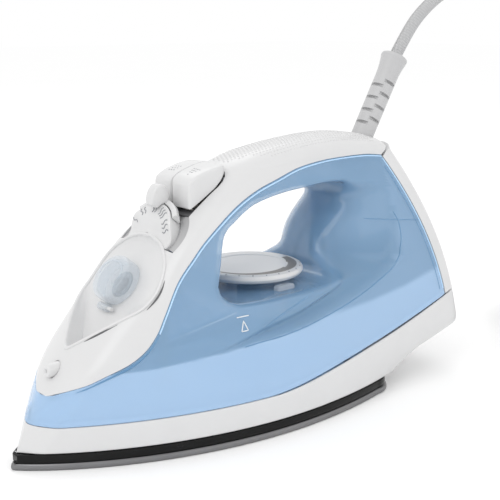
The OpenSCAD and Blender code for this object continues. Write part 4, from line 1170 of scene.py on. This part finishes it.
lens_outline = fillet([[3, -31.2], [15.4, -31.2], [15.4, -26.2], [3, -26.2]], [2, 2.4, 2.4, 2], 8)
lens_rows = []
for inset, h in ((0, 67.05), (0, 68.4), (0.35, 69.1), (1.1, 69.5)):
    mid = lens_outline.mean(0)
    shape = mid + (lens_outline - mid) * (1 - inset / np.linalg.norm(lens_outline - mid, axis=1))[:, None]
    lens_rows.append(np.c_[shape, np.full(len(shape), h)])
lens_rows = np.stack(lens_rows)
n, cols = lens_rows.shape[:2]
lens = sharpen(tidy(make_mesh("lamp_lens", lens_rows.reshape(-1, 3), grid_faces(n, cols, wrap_cols=True).tolist() + [
    list(range(cols)), list(range(n * cols - 1, (n - 1) * cols - 1, -1))])), 40)
dress(lens, glass_material("lens_clear", (0.62, 0.68, 0.76), 0.08, 0.4))
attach(lens, "root")
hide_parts("pilot_lens")
amber = finish_material("lamp_amber", (0.9, 0.35, 0.05), 0.3, (0.8, 0.3, 0.05))
paint(amber, "pilot_lamp")

# ---- Cord guide: white bending sleeve with sawn notches ----
# Soft nylon sleeve, 53 mm long, flared at its end; four rows of notches on four sides let it bend.

guide_r = 6.5
bore = cord_d / 2 + 0.2
sleeve_profile = np.array([[bore, -13.8], [7.9, -13.8], [7.9, -10.7], [guide_r, -10.7], [guide_r, 38],
                           [6.6, 42], [7.0, 46], [7.6, 49.5], [8.05, 51.3], [8.05, 52.2], [7.7, 52.8], [7.0, 53], [5.2, 52.9], [bore, 52.2]])
sleeve = revolve("cord_guide_sleeve", evenly(sleeve_profile, 110), guide_base, guide_dir, 96, closed=False)
bm = bmesh.new()
bm.from_mesh(sleeve.data)
loops = [e for e in bm.edges if e.is_boundary]
bmesh.ops.bridge_loops(bm, edges=loops)
bm.to_mesh(sleeve.data)
bm.free()
sleeve = tidy(sleeve, 40)
across_axis = np.cross(guide_dir, [0, 1, 0])


def notch(k, direction, height):
    """A saw cut 2 mm high and 2.3 mm deep into the sleeve, square to its axis."""
    out = np.asarray(direction, float)
    along_it = np.cross(guide_dir, out)
    base = guide_base + guide_dir * height
    pts = [base + out * r + along_it * s + guide_dir * h for h in (-1, 1) for r, s in
           ((4.3, -7), (12, -7), (12, 7), (4.3, 7))]
    return tidy(make_mesh(f"notch_{k}", pts, [[0, 1, 2, 3], [7, 6, 5, 4], [0, 4, 5, 1], [1, 5, 6, 2], [2, 6, 7, 3],
                                              [3, 7, 4, 0]]))


notches = [notch(f"{row}_{quarter}", direction, 7 + 8.1 * row + lift)
           for row in range(4)
           for quarter, (direction, lift) in enumerate(((across_axis, 0), (-across_axis, 0), ([0, -1, 0], 3.6),
                                                        ([0, 1, 0], 3.6)))]
sleeve = sharpen(cut(sleeve, *notches), 35)
dress(sleeve, finish_material("guide_nylon", (0.5, 0.5, 0.505), 0.4, (0.48, 0.48, 0.485), bump=0.02))
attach(sleeve, "guide")
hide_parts("cord_guide")
